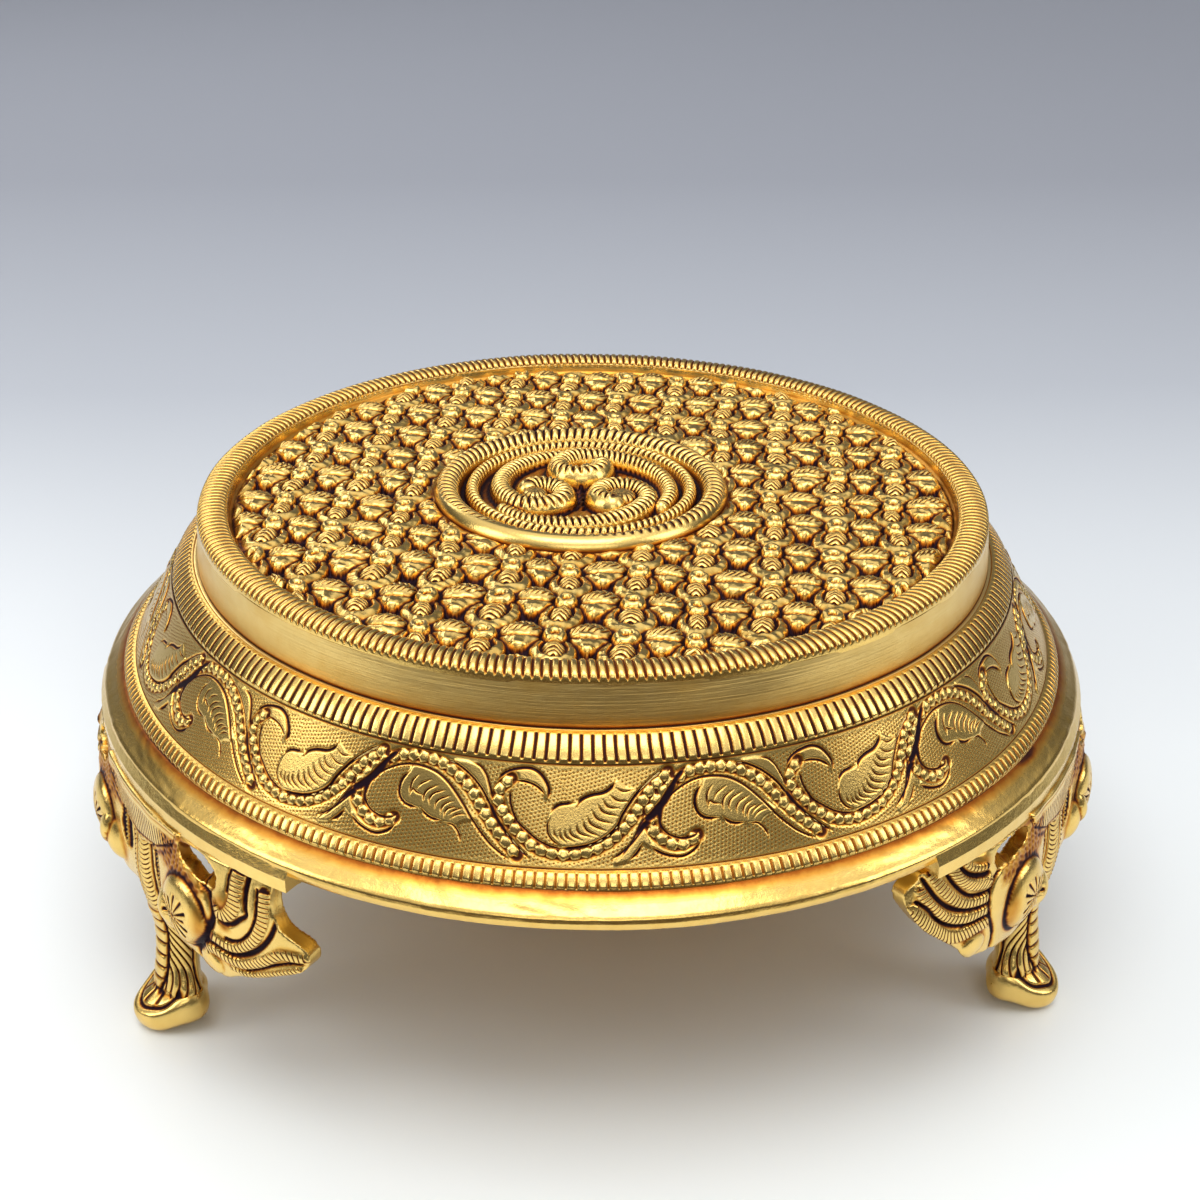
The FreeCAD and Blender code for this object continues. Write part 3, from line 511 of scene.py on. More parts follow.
RIBS = [
    [(430, 130), (402, 160), (394, 200), (396, 236)],
    [(500, 142), (452, 168), (430, 200)],
    [(538, 165), (492, 190), (472, 222), (474, 262)],
    [(580, 182), (524, 205), (502, 238), (510, 266)],
    [(612, 205), (562, 226), (540, 252), (540, 282)],
    [(628, 230), (590, 246), (572, 272), (572, 304)],
    [(652, 255), (610, 266), (592, 288), (590, 318)],
    [(682, 256), (640, 272), (612, 300)],
    [(704, 284), (656, 290), (622, 318)],
    [(1430, 112), (1468, 130), (1522, 124)],
    [(1400, 146), (1440, 174), (1500, 180)],
    [(1366, 166), (1392, 204), (1452, 214)],
    [(1340, 190), (1370, 230), (1440, 250)],
    [(1312, 220), (1342, 264), (1412, 286)],
    [(1290, 250), (1312, 290), (1382, 322)],
    [(1268, 270), (1290, 318), (1350, 348)],
    [(1240, 286), (1252, 330), (1312, 352)],
    [(1210, 300), (1216, 340), (1270, 370)],
    [(1185, 312), (1190, 350), (1232, 376)],
    [(1160, 320), (1166, 354), (1192, 380)],
    [(1132, 312), (1136, 342), (1156, 366)],
]
# dark gaps between the strands, as outlines
DARK_GAPS = [
    [(1566, 268), (1596, 236), (1640, 192), (1672, 148), (1702, 108), (1756, 44), (1780, 50), (1742, 98),
     (1716, 150), (1686, 196), (1648, 236), (1600, 280)],
    [(808, 222), (826, 226), (852, 272), (872, 300), (904, 342), (888, 344), (850, 300), (822, 262)],
    [(150, 236), (182, 196), (170, 240), (162, 290), (172, 326), (150, 310)],
    [(1556, 284), (1600, 290), (1560, 322), (1520, 352)],
]
# plain smooth places without stippling, as outlines
PLAIN = [
    [(375, 124), (345, 162), (334, 210), (346, 256), (384, 286), (450, 294), (490, 314), (530, 331),
     (590, 338), (650, 345), (684, 320), (740, 300), (690, 245), (640, 190), (582, 142), (500, 98),
     (400, 88)],
    [(1112, 242), (1130, 214), (1162, 196), (1236, 190), (1262, 170), (1310, 148), (1370, 136), (1410, 110),
     (1430, 76), (1480, 110), (1530, 130), (1500, 190), (1460, 250), (1436, 300), (1388, 348), (1320, 384),
     (1235, 404), (1172, 400), (1132, 376), (1106, 342), (1100, 300)],
    [(835, 104), (872, 60), (930, 36), (998, 28), (1050, 50), (1084, 92), (1100, 132), (1094, 178),
     (1066, 136), (1030, 110), (978, 95), (922, 95), (880, 120), (846, 150)],
    [(600, 30), (694, 28), (742, 42), (778, 80), (800, 130), (815, 172), (822, 206), (790, 190), (762, 152),
     (722, 112), (680, 80)],
    [(104, 404), (150, 436), (202, 455), (258, 460), (310, 436), (350, 396)] + MAIN_ROPE[:5],
    [(-70, 478), (-2, 468), (40, 430), (66, 384), (104, 404), (100, 300), (62, 288), (6, 392)],
]


def sheet_path(points):
    """Drawing points in millimetres: along the band from the crest, and up from its foot."""
    p = np.asarray(points, float)
    return np.stack([(p[:, 0] - SHEET_CREST) * SHEET_UNIT, (SHEET_FOOT - p[:, 1]) * SHEET_UNIT], axis=1)


def repeats_of(points, steps, closed=False):
    """Smooth line through drawn points, at every shift that reaches the drawn stretch."""
    path = smooth_path(sheet_path(points), steps, closed)
    reach = 0.5 * REPEAT_LENGTH + 2
    for shift in (-2, -1, 0, 1, 2):
        moved = path + np.array([shift * REPEAT_LENGTH, 0.0])
        if moved[:, 0].max() > -reach and moved[:, 0].min() < reach:
            yield moved


def covered(x, y, outlines):
    """True inside any of the drawn outlines."""
    hit = np.zeros(x.shape, bool)
    for outline in outlines:
        for path in repeats_of(outline, 4, True):
            hit |= inside(x, y, path)
    return hit


def bead_chain(x, y, path, radius, pitch):
    """Row of round beads on a line; returns bump and the band that they cover."""
    along, side, length = along_path(x, y, path, 2.0)
    step = length / round(length / pitch)
    local = ((along / step) % 1.0 - 0.5) * step
    number = np.floor(along / step)
    distance = np.hypot(local, side)
    distance = distance * (1.0 + 0.07 * np.cos(5 * np.arctan2(side, local) + 2.4 * number))
    facet = 0.20 * (np.cos(1.7 * number) * local + np.sin(1.7 * number) * side)
    pad = unit(1.0 - (distance / radius) ** 4) ** 0.5
    return pad * (1.0 + facet), np.abs(side) < radius + 0.12


def punched_dots(x, y):
    """Stipple: rows of small punched dots that lean over."""
    u = (x + 0.42 * y) / DOT_PITCH
    v = (y - 0.30 * x) / (DOT_PITCH * 0.84)
    du = (u + 0.5 * (np.floor(v) % 2)) % 1.0 - 0.5
    dv = v % 1.0 - 0.5
    return np.exp(-((du / 0.19) ** 2 + (dv / 0.20) ** 2))


def draw_repeat(columns, rows):
    """Height and patina over one repeat."""
    def blur(field):
        return soften(field.astype(float), (1, 1), (False, True))
    top = math.hypot(FRIEZE_TOP[0] - FRIEZE_FOOT[0], FRIEZE_TOP[1] - FRIEZE_FOOT[1])
    x = -0.5 * REPEAT_LENGTH + REPEAT_LENGTH * np.arange(columns) / columns
    x, y = np.meshgrid(x, np.linspace(0, top, rows))
    band = np.zeros(x.shape, bool)
    beads, cut, stain = np.zeros((3, *x.shape))
    for points, radius, pitch in ROPES:
        for path in repeats_of(points, 5):
            bump, cover = bead_chain(x, y, path, radius, pitch)
            beads = np.maximum(beads, bump)
            band |= cover
    for points, half, depth in INCISED + [(rib, RIB_HALF, RIB_DEPTH) for rib in RIBS]:
        for path in repeats_of(points, 5):
            along, side, length = along_path(x, y, path, 1.2)
            fade = np.clip(np.minimum(along, length - along) / 1.3, 0.25, 1.0) ** 0.7
            groove = bell(side, half * fade)
            cut = np.maximum(cut, depth * fade * groove)
            stain = np.maximum(stain, unit(1.15 * groove * fade))
    plain = covered(x, y, PLAIN)
    gap = blur(covered(x, y, DARK_GAPS))
    dots = punched_dots(x, y) * blur((~plain) & (~band)) ** 2
    dots = dots * unit((y - 0.5) / 0.5) * unit((top - 0.6 - y) / 0.5)
    banded = blur(band)
    height = blur(0.20 * plain * (1 - banded) + banded * (0.46 * beads - 0.24) - 0.14 * dots) - cut
    height = np.where(gap > 0, height * (1 - gap) - 0.12 * gap, height)
    creases = banded * unit(1.0 - 2.2 * beads)
    border = np.maximum(unit(1 - y / 0.45), unit(1 - (top - y) / 0.45))
    return height, np.maximum.reduce([stain, gap, dots, 0.72 * creases, 0.9 * border])


def frieze_panels():
    """One panel for each repeat between the beads."""
    lift, stain = (np.concatenate([field, field[:, :1]], axis=1)
                   for field in draw_repeat(FRIEZE_COLUMNS, FRIEZE_ROWS))
    radius, level, out, up, _ = (row[:, None] for row in profile_rows([FRIEZE_FOOT, FRIEZE_TOP], FRIEZE_ROWS))
    r = radius + out * lift
    z = level + up * lift
    faces = grid_faces(FRIEZE_ROWS, FRIEZE_COLUMNS + 1, False)
    for panel in range(REPEATS):
        start = FIRST_CREST + TURN * (panel - 0.5) / REPEATS
        azimuth = start + TURN * np.arange(FRIEZE_COLUMNS + 1) / (FRIEZE_COLUMNS * REPEATS)
        points = np.stack([r * np.sin(azimuth), -r * np.cos(azimuth), z], axis=-1)
        add_piece("frieze_panel_%d" % (panel + 1), points, faces, stain, CHASED, None)


# Deck field: a lattice of leaves, rings and collared ovals
FIELD_RADIUS = 72.6
CELL_WIDTH = 12.2
CELL_LENGTH = 12.75
LEAF_AT = np.array([-1.5, -49.0])
ACROSS = np.array([12.06, -1.87])
ALONG = np.array([2.0, 12.6])
MEDALLION_AT = np.array([-2.4, 3.05])
MEDALLION_RADIUS = 30.2
DECK_LEVEL = 91.0
FIELD_FLOOR = -1.25
FIELD_STEP = 0.245
CUP_AT = (6.1, -5.9)
OVAL_AT = (6.1, -5.6)
RING_AT = (6.1, -0.35)


def egg_bump(u, v, at, half, height, power):
    """Rounded nugget over an ellipse."""
    q = ((u - at[0]) / half[0]) ** 2 + ((v - at[1]) / half[1]) ** 2
    return height * unit(1.0 - q) ** power


def field_cell(a, b, uneven_a, uneven_b):
    """Height, pit depth and struck lines of the lattice (millimetres from each cell's leaf)."""
    height = np.full(a.shape, FIELD_FLOOR)
    pit, phase, weight = np.zeros((3, *a.shape))
    for du, dv in ((0, 0), (1, 0), (-1, 0), (0, 1), (0, -1), (1, 1), (-1, -1), (1, -1), (-1, 1)):
        u = a - du * CELL_WIDTH - 0.3 * uneven_a
        v = b - dv * CELL_LENGTH - 0.3 * uneven_b
        # cup: two arms and a broad nose round the oval, open towards the ring
        cu, cv = u - CUP_AT[0], v - CUP_AT[1]
        narrow = 1.0 + 0.18 * unit(-cv / 4.0)
        shell = egg_bump(cu * narrow, cv, (0.0, 0.0), (4.5, 5.7), 1.70, 0.45) + FIELD_FLOOR
        moat = egg_bump(cu, cv, (0.0, 1.0), (2.75, 3.7), 1.35, 0.35)
        height = blend_max(height, np.maximum(shell - moat, FIELD_FLOOR + 0.15), 0.12)
        pit = np.maximum(pit, unit(1.3 - (u / 2.9) ** 2 - ((v + 6.2) / 2.3) ** 2))
        # bud: a veined leaf, a smooth lip and a swell that runs out to a point
        leaf = egg_bump(u, v, (0.0, 1.4), (3.8, 3.0), 2.15, 0.50) + FIELD_FLOOR
        taper = np.clip((v + 5.4) / 4.2, 0.06, 1) ** 0.7
        swell = 1.80 * unit(1 - (u / (3.6 * taper)) ** 2) ** 0.5 * unit((v + 5.4) / 1.2) ** 0.6
        swell = swell * unit((1.0 - v) / 1.0) - 0.05 * np.clip(-v - 2.0, 0, 3) + FIELD_FLOOR
        smile = bell(v + 1.15 - 0.07 * u * u, 0.38) * unit(1.3 - np.abs(u) / 3.6)
        body = blend_max(leaf, swell, 0.20) - 0.85 * smile
        on_leaf = (leaf > swell) & (leaf > -0.7) & (body > height)
        height = blend_max(height, body, 0.12)
        lip = unit((v - 0.15 - 0.04 * u * u) / 0.5)
        phase = np.where(on_leaf, (u + 0.8 * np.abs(v - 1.9)) / 1.10, phase)
        weight = np.where(on_leaf, unit((leaf + 0.7) / 0.5) * lip, weight)
        # ring with a hole
        away = np.hypot(u - RING_AT[0], (v - RING_AT[1]) * 0.92)
        moat = FIELD_FLOOR + 0.3 + 0.5 * unit(away - 2.2)
        height = np.where(away < 2.75, np.minimum(height, moat), height)
        donut = 2.2 * unit(1 - ((away - 1.35) / 1.05) ** 2) ** 0.5 + FIELD_FLOOR
        weight = np.where(away < 2.4, 0.0, weight)
        height = np.maximum(height, donut)
        # oval with chevrons inside the cup
        oval = egg_bump(u, v, OVAL_AT, (2.2, 3.35), 2.10, 0.42) + FIELD_FLOOR
        over = oval > height
        phase = np.where(over, (v + 0.65 * np.abs(u - OVAL_AT[0])) / 1.15, phase)
        weight = np.where(over, unit((oval + 0.6) / 0.4), weight)
        height = blend_max(height, oval, 0.10)
    pit *= unit((-0.60 - height) / 0.3)
    return height - 0.13 * weight * np.cos(TURN * phase), pit, phase, weight


def slow_waves(x, y):
    """Two seeded fields of slow waves that shift the lattice by hand-made amounts."""
    rng = np.random.default_rng(5)
    fields = np.zeros((2, *x.shape))
    for total in fields:
        for _ in range(7):
            k = rng.normal(size=2) * 0.16
            total += 0.8 * np.sin(k[0] * x + k[1] * y + TURN * rng.random())
    return fields


def deck_field():
    """Relief of the deck in four quarters round the medallion."""
    count = int(2 * FIELD_RADIUS / FIELD_STEP) + 3
    line = (np.arange(count) - (count - 1) / 2) * FIELD_STEP
    x, y = np.meshgrid(line, line)
    uneven = slow_waves(x, y)
    turn = np.linalg.inv(np.stack([ACROSS, ALONG], axis=1))
    dx, dy = x - LEAF_AT[0], y - LEAF_AT[1]
    a = from_whole(turn[0, 0] * dx + turn[0, 1] * dy) * CELL_WIDTH
    b = from_whole(turn[1, 0] * dx + turn[1, 1] * dy) * CELL_LENGTH
    height, pit, phase, weight = field_cell(a, b, *uneven)
    lumps = np.sin(2.1 * x + 0.9 * y + 2 * uneven[1]) * np.sin(1.7 * y - 1.5 * x + 2 * uneven[0])
    height = height - 1.0 * pit + 0.10 * uneven[0] + 0.13 * lumps
    crumbs = np.sin(3.1 * x + 1.3 * y + uneven[0]) * np.sin(2.3 * y - 1.9 * x + 2 * uneven[1])
    height += 0.22 * crumbs * np.clip(pit, 0.15, 1)
    radius = np.hypot(x, y)
    edge = unit((FIELD_RADIUS - 0.3 - radius) / 1.4)
    height = -1.0 + (height + 1.0) * edge ** 0.7
    away = np.hypot(x - MEDALLION_AT[0], y - MEDALLION_AT[1]) - MEDALLION_RADIUS
    calm = unit((away - 0.1) / 1.6)
    height = -0.7 + (height + 0.7) * calm ** 0.6
    weight = weight * edge * calm
    depth = unit((soften(height, (5, 5)) - height) / 0.60 + 0.06)
    crease = unit((soften(height, (2, 2)) - height) / 0.12)
    flank = unit((0.15 - height) / 1.1)
    patina = unit(0.42 * depth + 0.34 * crease + 0.22 * flank + 0.66 * pit * calm * edge)
    points = np.stack([x, y, DECK_LEVEL + height], axis=-1).reshape(-1, 3)
    faces = grid_faces(count, count, False)
    keep_point = ((radius < FIELD_RADIUS) & (away > -1.0)).ravel()
    faces = faces[keep_point[faces].all(axis=1)]
    middle = np.sign(points[faces].mean(axis=1) + 1e-6)
    looks = np.stack([patina.ravel(), phase.ravel(), weight.ravel()], axis=-1)
    for number, (sx, sy) in enumerate(((-1, -1), (1, -1), (1, 1), (-1, 1))):
        part = faces[(middle[:, 0] == sx) & (middle[:, 1] == sy)]
        p, f, h = compact(points, part, looks)
        add_piece("deck_field_%d" % (number + 1), p, f, h[:, 0], FIELD, "deck_plate",
                  (h[:, 1], h[:, 2]))


# Medallion: notched rings and three rope curls
ARM_ANGLES = (86.0, 206.0, 326.0)
ARM_KNOB_AT = 9.2
ARM_END_RADIUS = 18.3
# across, away, radius, height and weight of its strokes
KNOBS = (
    (1.7, 9.0, 1.9, 2.9, 0.0),
    (-9.6, -4.6, 3.0, 3.3, 1.0),
    (7.9, -5.8, 3.5, 3.2, 1.0),
)
KNOB_CUTS = 13
OUTER_RING, THIN_RING = 27.5, 22.3
RING_CUTS = 96
STROKE_RELIEF = -0.20
MEDALLION_GRID = (170, 720)
MEDALLION_FLOOR = -1.7
MEDALLION_SKIRT_LEVEL = 88.6
STUD_RINGS, STUD_COLUMNS = 24, 48


def arm_path(turned_by):
    """Centre line of a curl: round its knob and then along the inside of the thin ring."""
    points = []
    for angle in np.linspace(-80, -372, 30):
        share = (angle + 80) / -292
        reach = 4.0 + 1.5 * share + 0.8 * max(0, share - 0.75) * 4
        direction = math.radians(90 + angle)
        points.append((reach * math.cos(direction), ARM_KNOB_AT + reach * math.sin(direction)))
    end = points[-1]
    start_angle = math.degrees(math.atan2(end[1], end[0]))
    start_radius = math.hypot(*end)
    for share in np.linspace(0.06, 1, 22):
        angle = math.radians(start_angle - 112 * share)
        radius = start_radius + (ARM_END_RADIUS - start_radius) * min(1.0, share * 1.25) ** 0.8
        points.append((radius * math.cos(angle), radius * math.sin(angle)))
    spin = math.radians(turned_by - 90)
    turn = np.array([[math.cos(spin), -math.sin(spin)], [math.sin(spin), math.cos(spin)]])
    return np.array(points) @ turn.T


def medallion_relief():
    """Relief of the centre piece over a polar grid."""
    rows, columns = MEDALLION_GRID
    radius = np.linspace(MEDALLION_RADIUS, 0.02, rows)[:, None] + np.zeros((1, columns))
    azimuth = np.zeros((rows, 1)) + (TURN * np.arange(columns) / columns)[None, :]
    x = radius * np.sin(azimuth)
    y = -radius * np.cos(azimuth)

    def lay(where, new_height, new_phase, new_weight, relief=STROKE_RELIEF):
        """A form over what lies there, with its struck lines."""
        strokes = relief * new_weight * np.cos(TURN * new_phase)
        for field, new in ((height, new_height), (phase, new_phase), (weight, new_weight), (lift, strokes)):
            field[where] = new[where]

    # thick outer ring: notched, with a smooth flank on its near side
    height = np.maximum(MEDALLION_FLOOR, 3.5 * dome(radius - OUTER_RING, 2.75) - 1.6)
    near_side = bell(np.mod(azimuth + 0.35 + math.pi, TURN) - math.pi, 0.75)
    outer_end = 29.5 - 2.3 * near_side
    phase = azimuth * RING_CUTS / TURN + 0.12 * (radius - 27.3)
    weight = unit((outer_end - radius) / 0.6) * unit((radius - 25.1) / 0.3)
    weight *= 1.0 - 0.35 * near_side
    lift = STROKE_RELIEF * weight * np.cos(TURN * phase)
    # thin ring inside it
    thin = 2.7 * dome(radius - THIN_RING, 1.5) + MEDALLION_FLOOR
    lay(thin > height, thin, azimuth * RING_CUTS / TURN + 0.20 * (radius - THIN_RING),
        unit((1.3 - np.abs(radius - THIN_RING)) / 0.3))
    for number, angle in enumerate(ARM_ANGLES):
        along, side, length = along_path(x, y, arm_path(angle), 3.5)
        share = along / length
        thick = 2.95 - 1.15 * share
        rise = (4.3 if number == 0 else 3.9) - 1.9 * share ** 1.5
        rope = rise * dome(side, thick) + MEDALLION_FLOOR
        smooth_wall = unit(1.0 - 3.0 * share)
        cuts = unit((0.88 * thick - np.abs(side)) / 0.4)
        cuts *= unit(1.0 - smooth_wall * (side - 0.35 * thick) / 0.5)
        lay((rope > height) & (np.abs(side) < thick), rope, along / 1.32 + 0.20 * side, cuts)
    for across, away_at, size, tall, strokes in KNOBS:
        ku, kv = x - across, y - away_at
        away = np.hypot(ku, kv)
        button = tall * unit(1.0 - (away / size) ** 4) ** 0.5 + MEDALLION_FLOOR
        cuts = strokes * unit((away - 0.5) / 0.4) * unit((0.92 * size - away) / 0.3)
        lay((button > height) & (away < size), button, np.arctan2(kv, ku) * KNOB_CUTS / TURN + 0.10 * away,
            cuts, 0.0)
    low = unit((MEDALLION_FLOOR + 0.7 - height) / 0.5)
    crumbs = np.sin(1.9 * x + 1.1 * y) * np.sin(1.3 * y - 2.3 * x) + 0.6 * np.sin(3.7 * x - 2.9 * y)
    middle = unit((7.5 - np.hypot(x + 0.5, y + 2.0)) / 3.0)
    height = height + (0.06 + 0.30 * middle) * crumbs * low + lift
    broad = soften(height, (5, 9), (False, True))
    fine = soften(height, (2, 3), (False, True))
    patina = 0.70 * unit((broad - height) / 0.8 + 0.06) + 0.45 * unit((fine - height) / 0.22)
    patina = patina + (0.30 + 0.42 * middle + 0.08 * crumbs) * low
    points = np.stack([x + MEDALLION_AT[0], y + MEDALLION_AT[1], DECK_LEVEL + height], axis=-1)
    skirt = points[:1].copy()
    skirt[..., 2] = MEDALLION_SKIRT_LEVEL
    points = np.concatenate([skirt, points], axis=0)
    patina = np.concatenate([np.full((1, columns), 0.5), patina], axis=0)
    phase = np.concatenate([phase[:1], phase], axis=0)
    weight = np.concatenate([0 * weight[:1], weight], axis=0)
    add_piece("medallion_relief", points, grid_faces(rows + 1, columns, True), patina, ROPE,
              "medallion", (phase, weight))


def hidden_parts():
    """Underside of the deck plate and the medallion's stud, seen from below only."""
    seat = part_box("deck_plate")[0][2] / MM
    edge = [(0.05, seat), (60.0, seat), (72.9, seat), (73.1, seat + 1.0), (73.1, 88.9)]
    turned_band("deck_underside", edge, 20, 360, lambda at, azimuth: 0.0, lambda at, azimuth, lift: 0.32,
                SATIN, "deck_plate", "chased_brass")
    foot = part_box("medallion")[0][2] / MM
    stud = [(0.05, foot), (1.9, foot), (2.35, foot + 0.5)]
    stud += [(2.4 - 0.22 * (k % 2), foot + 0.6 + 0.35 * k) for k in range(STUD_RINGS)]
    stud += [(2.4, seat + 1.0)]
    radius, level = np.array(stud).T[..., None]
    azimuth = TURN * np.arange(STUD_COLUMNS) / STUD_COLUMNS
    points = np.stack([radius * np.sin(azimuth) + MEDALLION_AT[0],
                       -radius * np.cos(azimuth) + MEDALLION_AT[1], level + 0 * azimuth], axis=-1)
    add_piece("medallion_stud", points, grid_faces(len(stud), STUD_COLUMNS, True),
              np.full(points.shape[:2], 0.3), SCREW, "medallion")


def dress_cad():
    """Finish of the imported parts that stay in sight."""
    finish = ((FLANGE, ["base_ring"]), (SATIN, ["frieze_skirt", "drum_ring", "deck_plate", "medallion"]),
              (SCREW, ["medallion_washer", "medallion_nut", "deck_screws", "skirt_screws", "leg_screws",
                       "leg_washers"]), (LEG, LEG_TURNS))
    for material, names in finish:
        for name in names:
            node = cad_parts[name]
            node.data.materials.clear()
            node.data.materials.append(material)


# Legs: one chased pattern over the cast shape, set down three times
LEG_TURNS = {"leg_front_left": -60.0, "leg_front_right": 60.0, "leg_back": 180.0}
PATTERN_LEG = "leg_front_left"
LEG_GRAIN = 0.00034
TRUNK_LEVELS = (5.0, 8.4, 12.0, 16.2, 21.8, 30.0, 38.1, 44.8, 50.4)
TRUNK_OUT = (97.4, 97.1, 96.8, 96.4, 96.1, 97.3, 97.8, 97.5, 97.3)
TRUNK_DEEP = (4.2, 4.4, 4.2, 4.0, 3.9, 4.4, 4.6, 4.3, 3.9)
TRUNK_WIDE = (5.0, 5.0, 4.6, 4.3, 4.4, 5.2, 5.9, 6.2, 6.2)
TOE_AT = (98.8, 4.3)
TOE_SLANT = math.radians(20.0)
SHELL_CUTS = 19
COLLAR_ARC = (0.0, 8.7, 15.5, 17.0)
COLLAR_EDGE = (44.6, 46.1, 49.9, 53.5)

# Each wing: grooves as (half width, line) and hatched feathers as (half width, pitch, slant, middle line),
# in millimetres of arc from the leg's middle and of height
DROOPING_GROOVES = (
    (0.24, [(32.5, 53.6), (32.0, 51.5), (31.9, 48.8)]),
    (0.46, [(36.2, 53.2), (35.9, 50.0), (36.0, 47.0), (36.2, 45.4), (35.0, 44.2), (33.5, 42.7), (32.0, 42.0),
            (30.2, 42.1)]),
    (0.28, [(38.2, 51.0), (38.3, 49.0), (38.2, 46.5), (37.7, 44.0), (37.0, 42.3), (36.0, 40.9), (34.8, 39.6),
            (33.2, 38.9), (31.5, 38.8)]),
    (0.52, [(42.6, 46.6), (41.9, 44.6), (41.0, 42.3), (39.5, 40.0), (37.5, 38.0), (35.0, 36.4), (32.5, 35.7),
            (30.5, 35.9), (28.8, 36.3), (27.0, 36.0)]),
    (0.24, [(47.2, 38.3), (45.0, 37.9), (42.7, 37.0), (41.0, 36.2), (39.0, 35.0), (37.2, 34.0),
            (35.5, 33.2)]),
    (0.85, [(25.4, 47.8), (27.3, 46.2), (28.2, 43.5), (28.0, 41.0), (27.0, 38.5), (25.6, 36.2), (24.2, 34.5),
            (22.6, 32.5), (21.6, 29.5)]),
)
DROOPING_FEATHERS = (
    (1.45, 0.86, 0.0, [(34.2, 53.0), (33.9, 50.0), (33.8, 47.5), (33.2, 45.4), (31.8, 43.9), (30.2, 43.8),
                       (29.2, 45.0)]),
    (1.20, 0.92, 0.0, [(39.8, 51.0), (39.8, 48.0), (39.7, 45.5), (38.9, 43.0), (37.6, 40.6), (35.8, 38.8),
                       (33.5, 37.4), (31.0, 37.3), (28.5, 38.0)]),
    (1.15, 0.95, 0.35, [(47.4, 39.2), (45.0, 39.5), (42.8, 39.2), (41.0, 38.0), (39.0, 36.5), (37.0, 35.2),
                        (34.5, 34.2), (31.5, 34.2), (28.5, 34.7), (26.0, 34.2)]),
    (0.65, 0.80, 0.5, [(46.5, 37.0), (43.5, 35.7), (40.5, 34.3), (37.5, 32.9), (35.0, 32.2), (32.0, 32.4)]),
)
LIFTED_GROOVES = (
    (0.30, [(48.2, 48.4), (46.2, 47.0), (44.7, 44.8), (43.2, 43.2), (41.2, 41.8), (39.0, 41.0), (36.5, 40.6),
            (32.3, 40.5)]),
    (0.36, [(46.6, 52.6), (44.8, 49.3), (43.3, 47.3), (41.5, 45.6), (39.5, 44.5), (37.2, 43.8), (34.5, 43.3),
            (32.0, 43.3)]),
    (0.28, [(42.2, 53.5), (41.0, 51.0), (39.8, 49.2), (38.5, 47.7), (37.0, 46.6), (35.0, 46.0),
            (32.0, 45.7)]),
    (0.40, [(39.0, 53.5), (38.0, 51.7), (36.6, 50.5), (34.6, 49.7), (32.2, 49.4)]),
    (0.50, [(28.6, 48.6), (30.6, 47.4), (31.9, 45.0), (32.0, 42.0), (31.4, 39.2), (30.3, 37.0), (29.5, 34.5),
            (29.2, 31.0)]),
)
LIFTED_FEATHERS = (
    (1.20, 0.80, 0.0, [(44.6, 53.2), (43.2, 50.6), (41.8, 48.6), (40.2, 46.8), (38.3, 45.5), (36.0, 44.8),
                       (33.0, 44.5)]),
    (1.25, 0.74, 0.7, [(40.6, 53.5), (39.4, 51.4), (38.0, 49.7), (36.2, 48.5), (34.0, 47.9), (32.3, 47.6)]),
    (1.10, 0.83, 0.2, [(47.4, 50.6), (46.3, 48.6), (44.4, 46.0), (42.6, 44.2), (40.4, 43.0), (38.0, 42.3),
                       (35.5, 42.0), (32.3, 41.9)]),
    (1.55, 0.78, -0.5, [(48.8, 46.9), (47.0, 44.5), (45.0, 42.2), (42.8, 40.2), (40.3, 39.1), (37.5, 38.9),
                        (34.5, 39.0), (32.3, 39.1)]),
    (0.80, 0.72, 0.0, [(37.4, 53.2), (36.2, 52.0), (34.8, 51.3), (33.0, 51.0)]),
)


def step_up(value, low, high):
    """Smooth rise from 0 at low to 1 at high."""
    t = unit((value - low) / (high - low))
    return t * t * (3.0 - 2.0 * t)


def leg_skin():
    """Fine even skin over one cast leg, turned to point along the first axis."""
    pattern = bpy.data.objects.new("leg_pattern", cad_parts[PATTERN_LEG].data.copy())
    bpy.context.scene.collection.objects.link(pattern)
    skin = pattern.modifiers.new("skin", "REMESH")
    skin.mode = "VOXEL"
    skin.voxel_size = LEG_GRAIN
    ready = pattern.evaluated_get(bpy.context.evaluated_depsgraph_get())
    mesh = bpy.data.meshes.new_from_object(ready)
    at, normal = np.empty((2, len(mesh.vertices) * 3), np.float32)
    mesh.vertices.foreach_get("co", at)
    mesh.vertices.foreach_get("normal", normal)
    faces = [polygon.vertices[:] for polygon in mesh.polygons if len(polygon.vertices) == 4]
    bpy.data.objects.remove(pattern)
    at = at.reshape(-1, 3).astype(float) / MM
    at[:, 1] -= AXIS_Y
    turn = math.radians(LEG_TURNS[PATTERN_LEG])
    out = np.array([math.sin(turn), -math.cos(turn)])
    aside = np.array([math.cos(turn), math.sin(turn)])
    local, facing = (np.stack([v[:, :2] @ out, v[:, :2] @ aside, v[:, 2]], axis=-1)
                     for v in (at, normal.reshape(-1, 3).astype(float)))
    return local, facing, np.array(faces, np.int32)


def neighbour_mean(values, pairs, count, rounds):
    """Repeated mean over each point's neighbours."""
    links = np.bincount(pairs.ravel(), minlength=count).astype(float)[:, None] + 1e-9
    for _ in range(rounds):
        total = np.zeros_like(values)
        for axis in range(values.shape[1]):
            total[:, axis] = (np.bincount(pairs[:, 0], values[pairs[:, 1], axis], count)
                              + np.bincount(pairs[:, 1], values[pairs[:, 0], axis], count))
        values = 0.4 * values + 0.6 * total / links
    return values


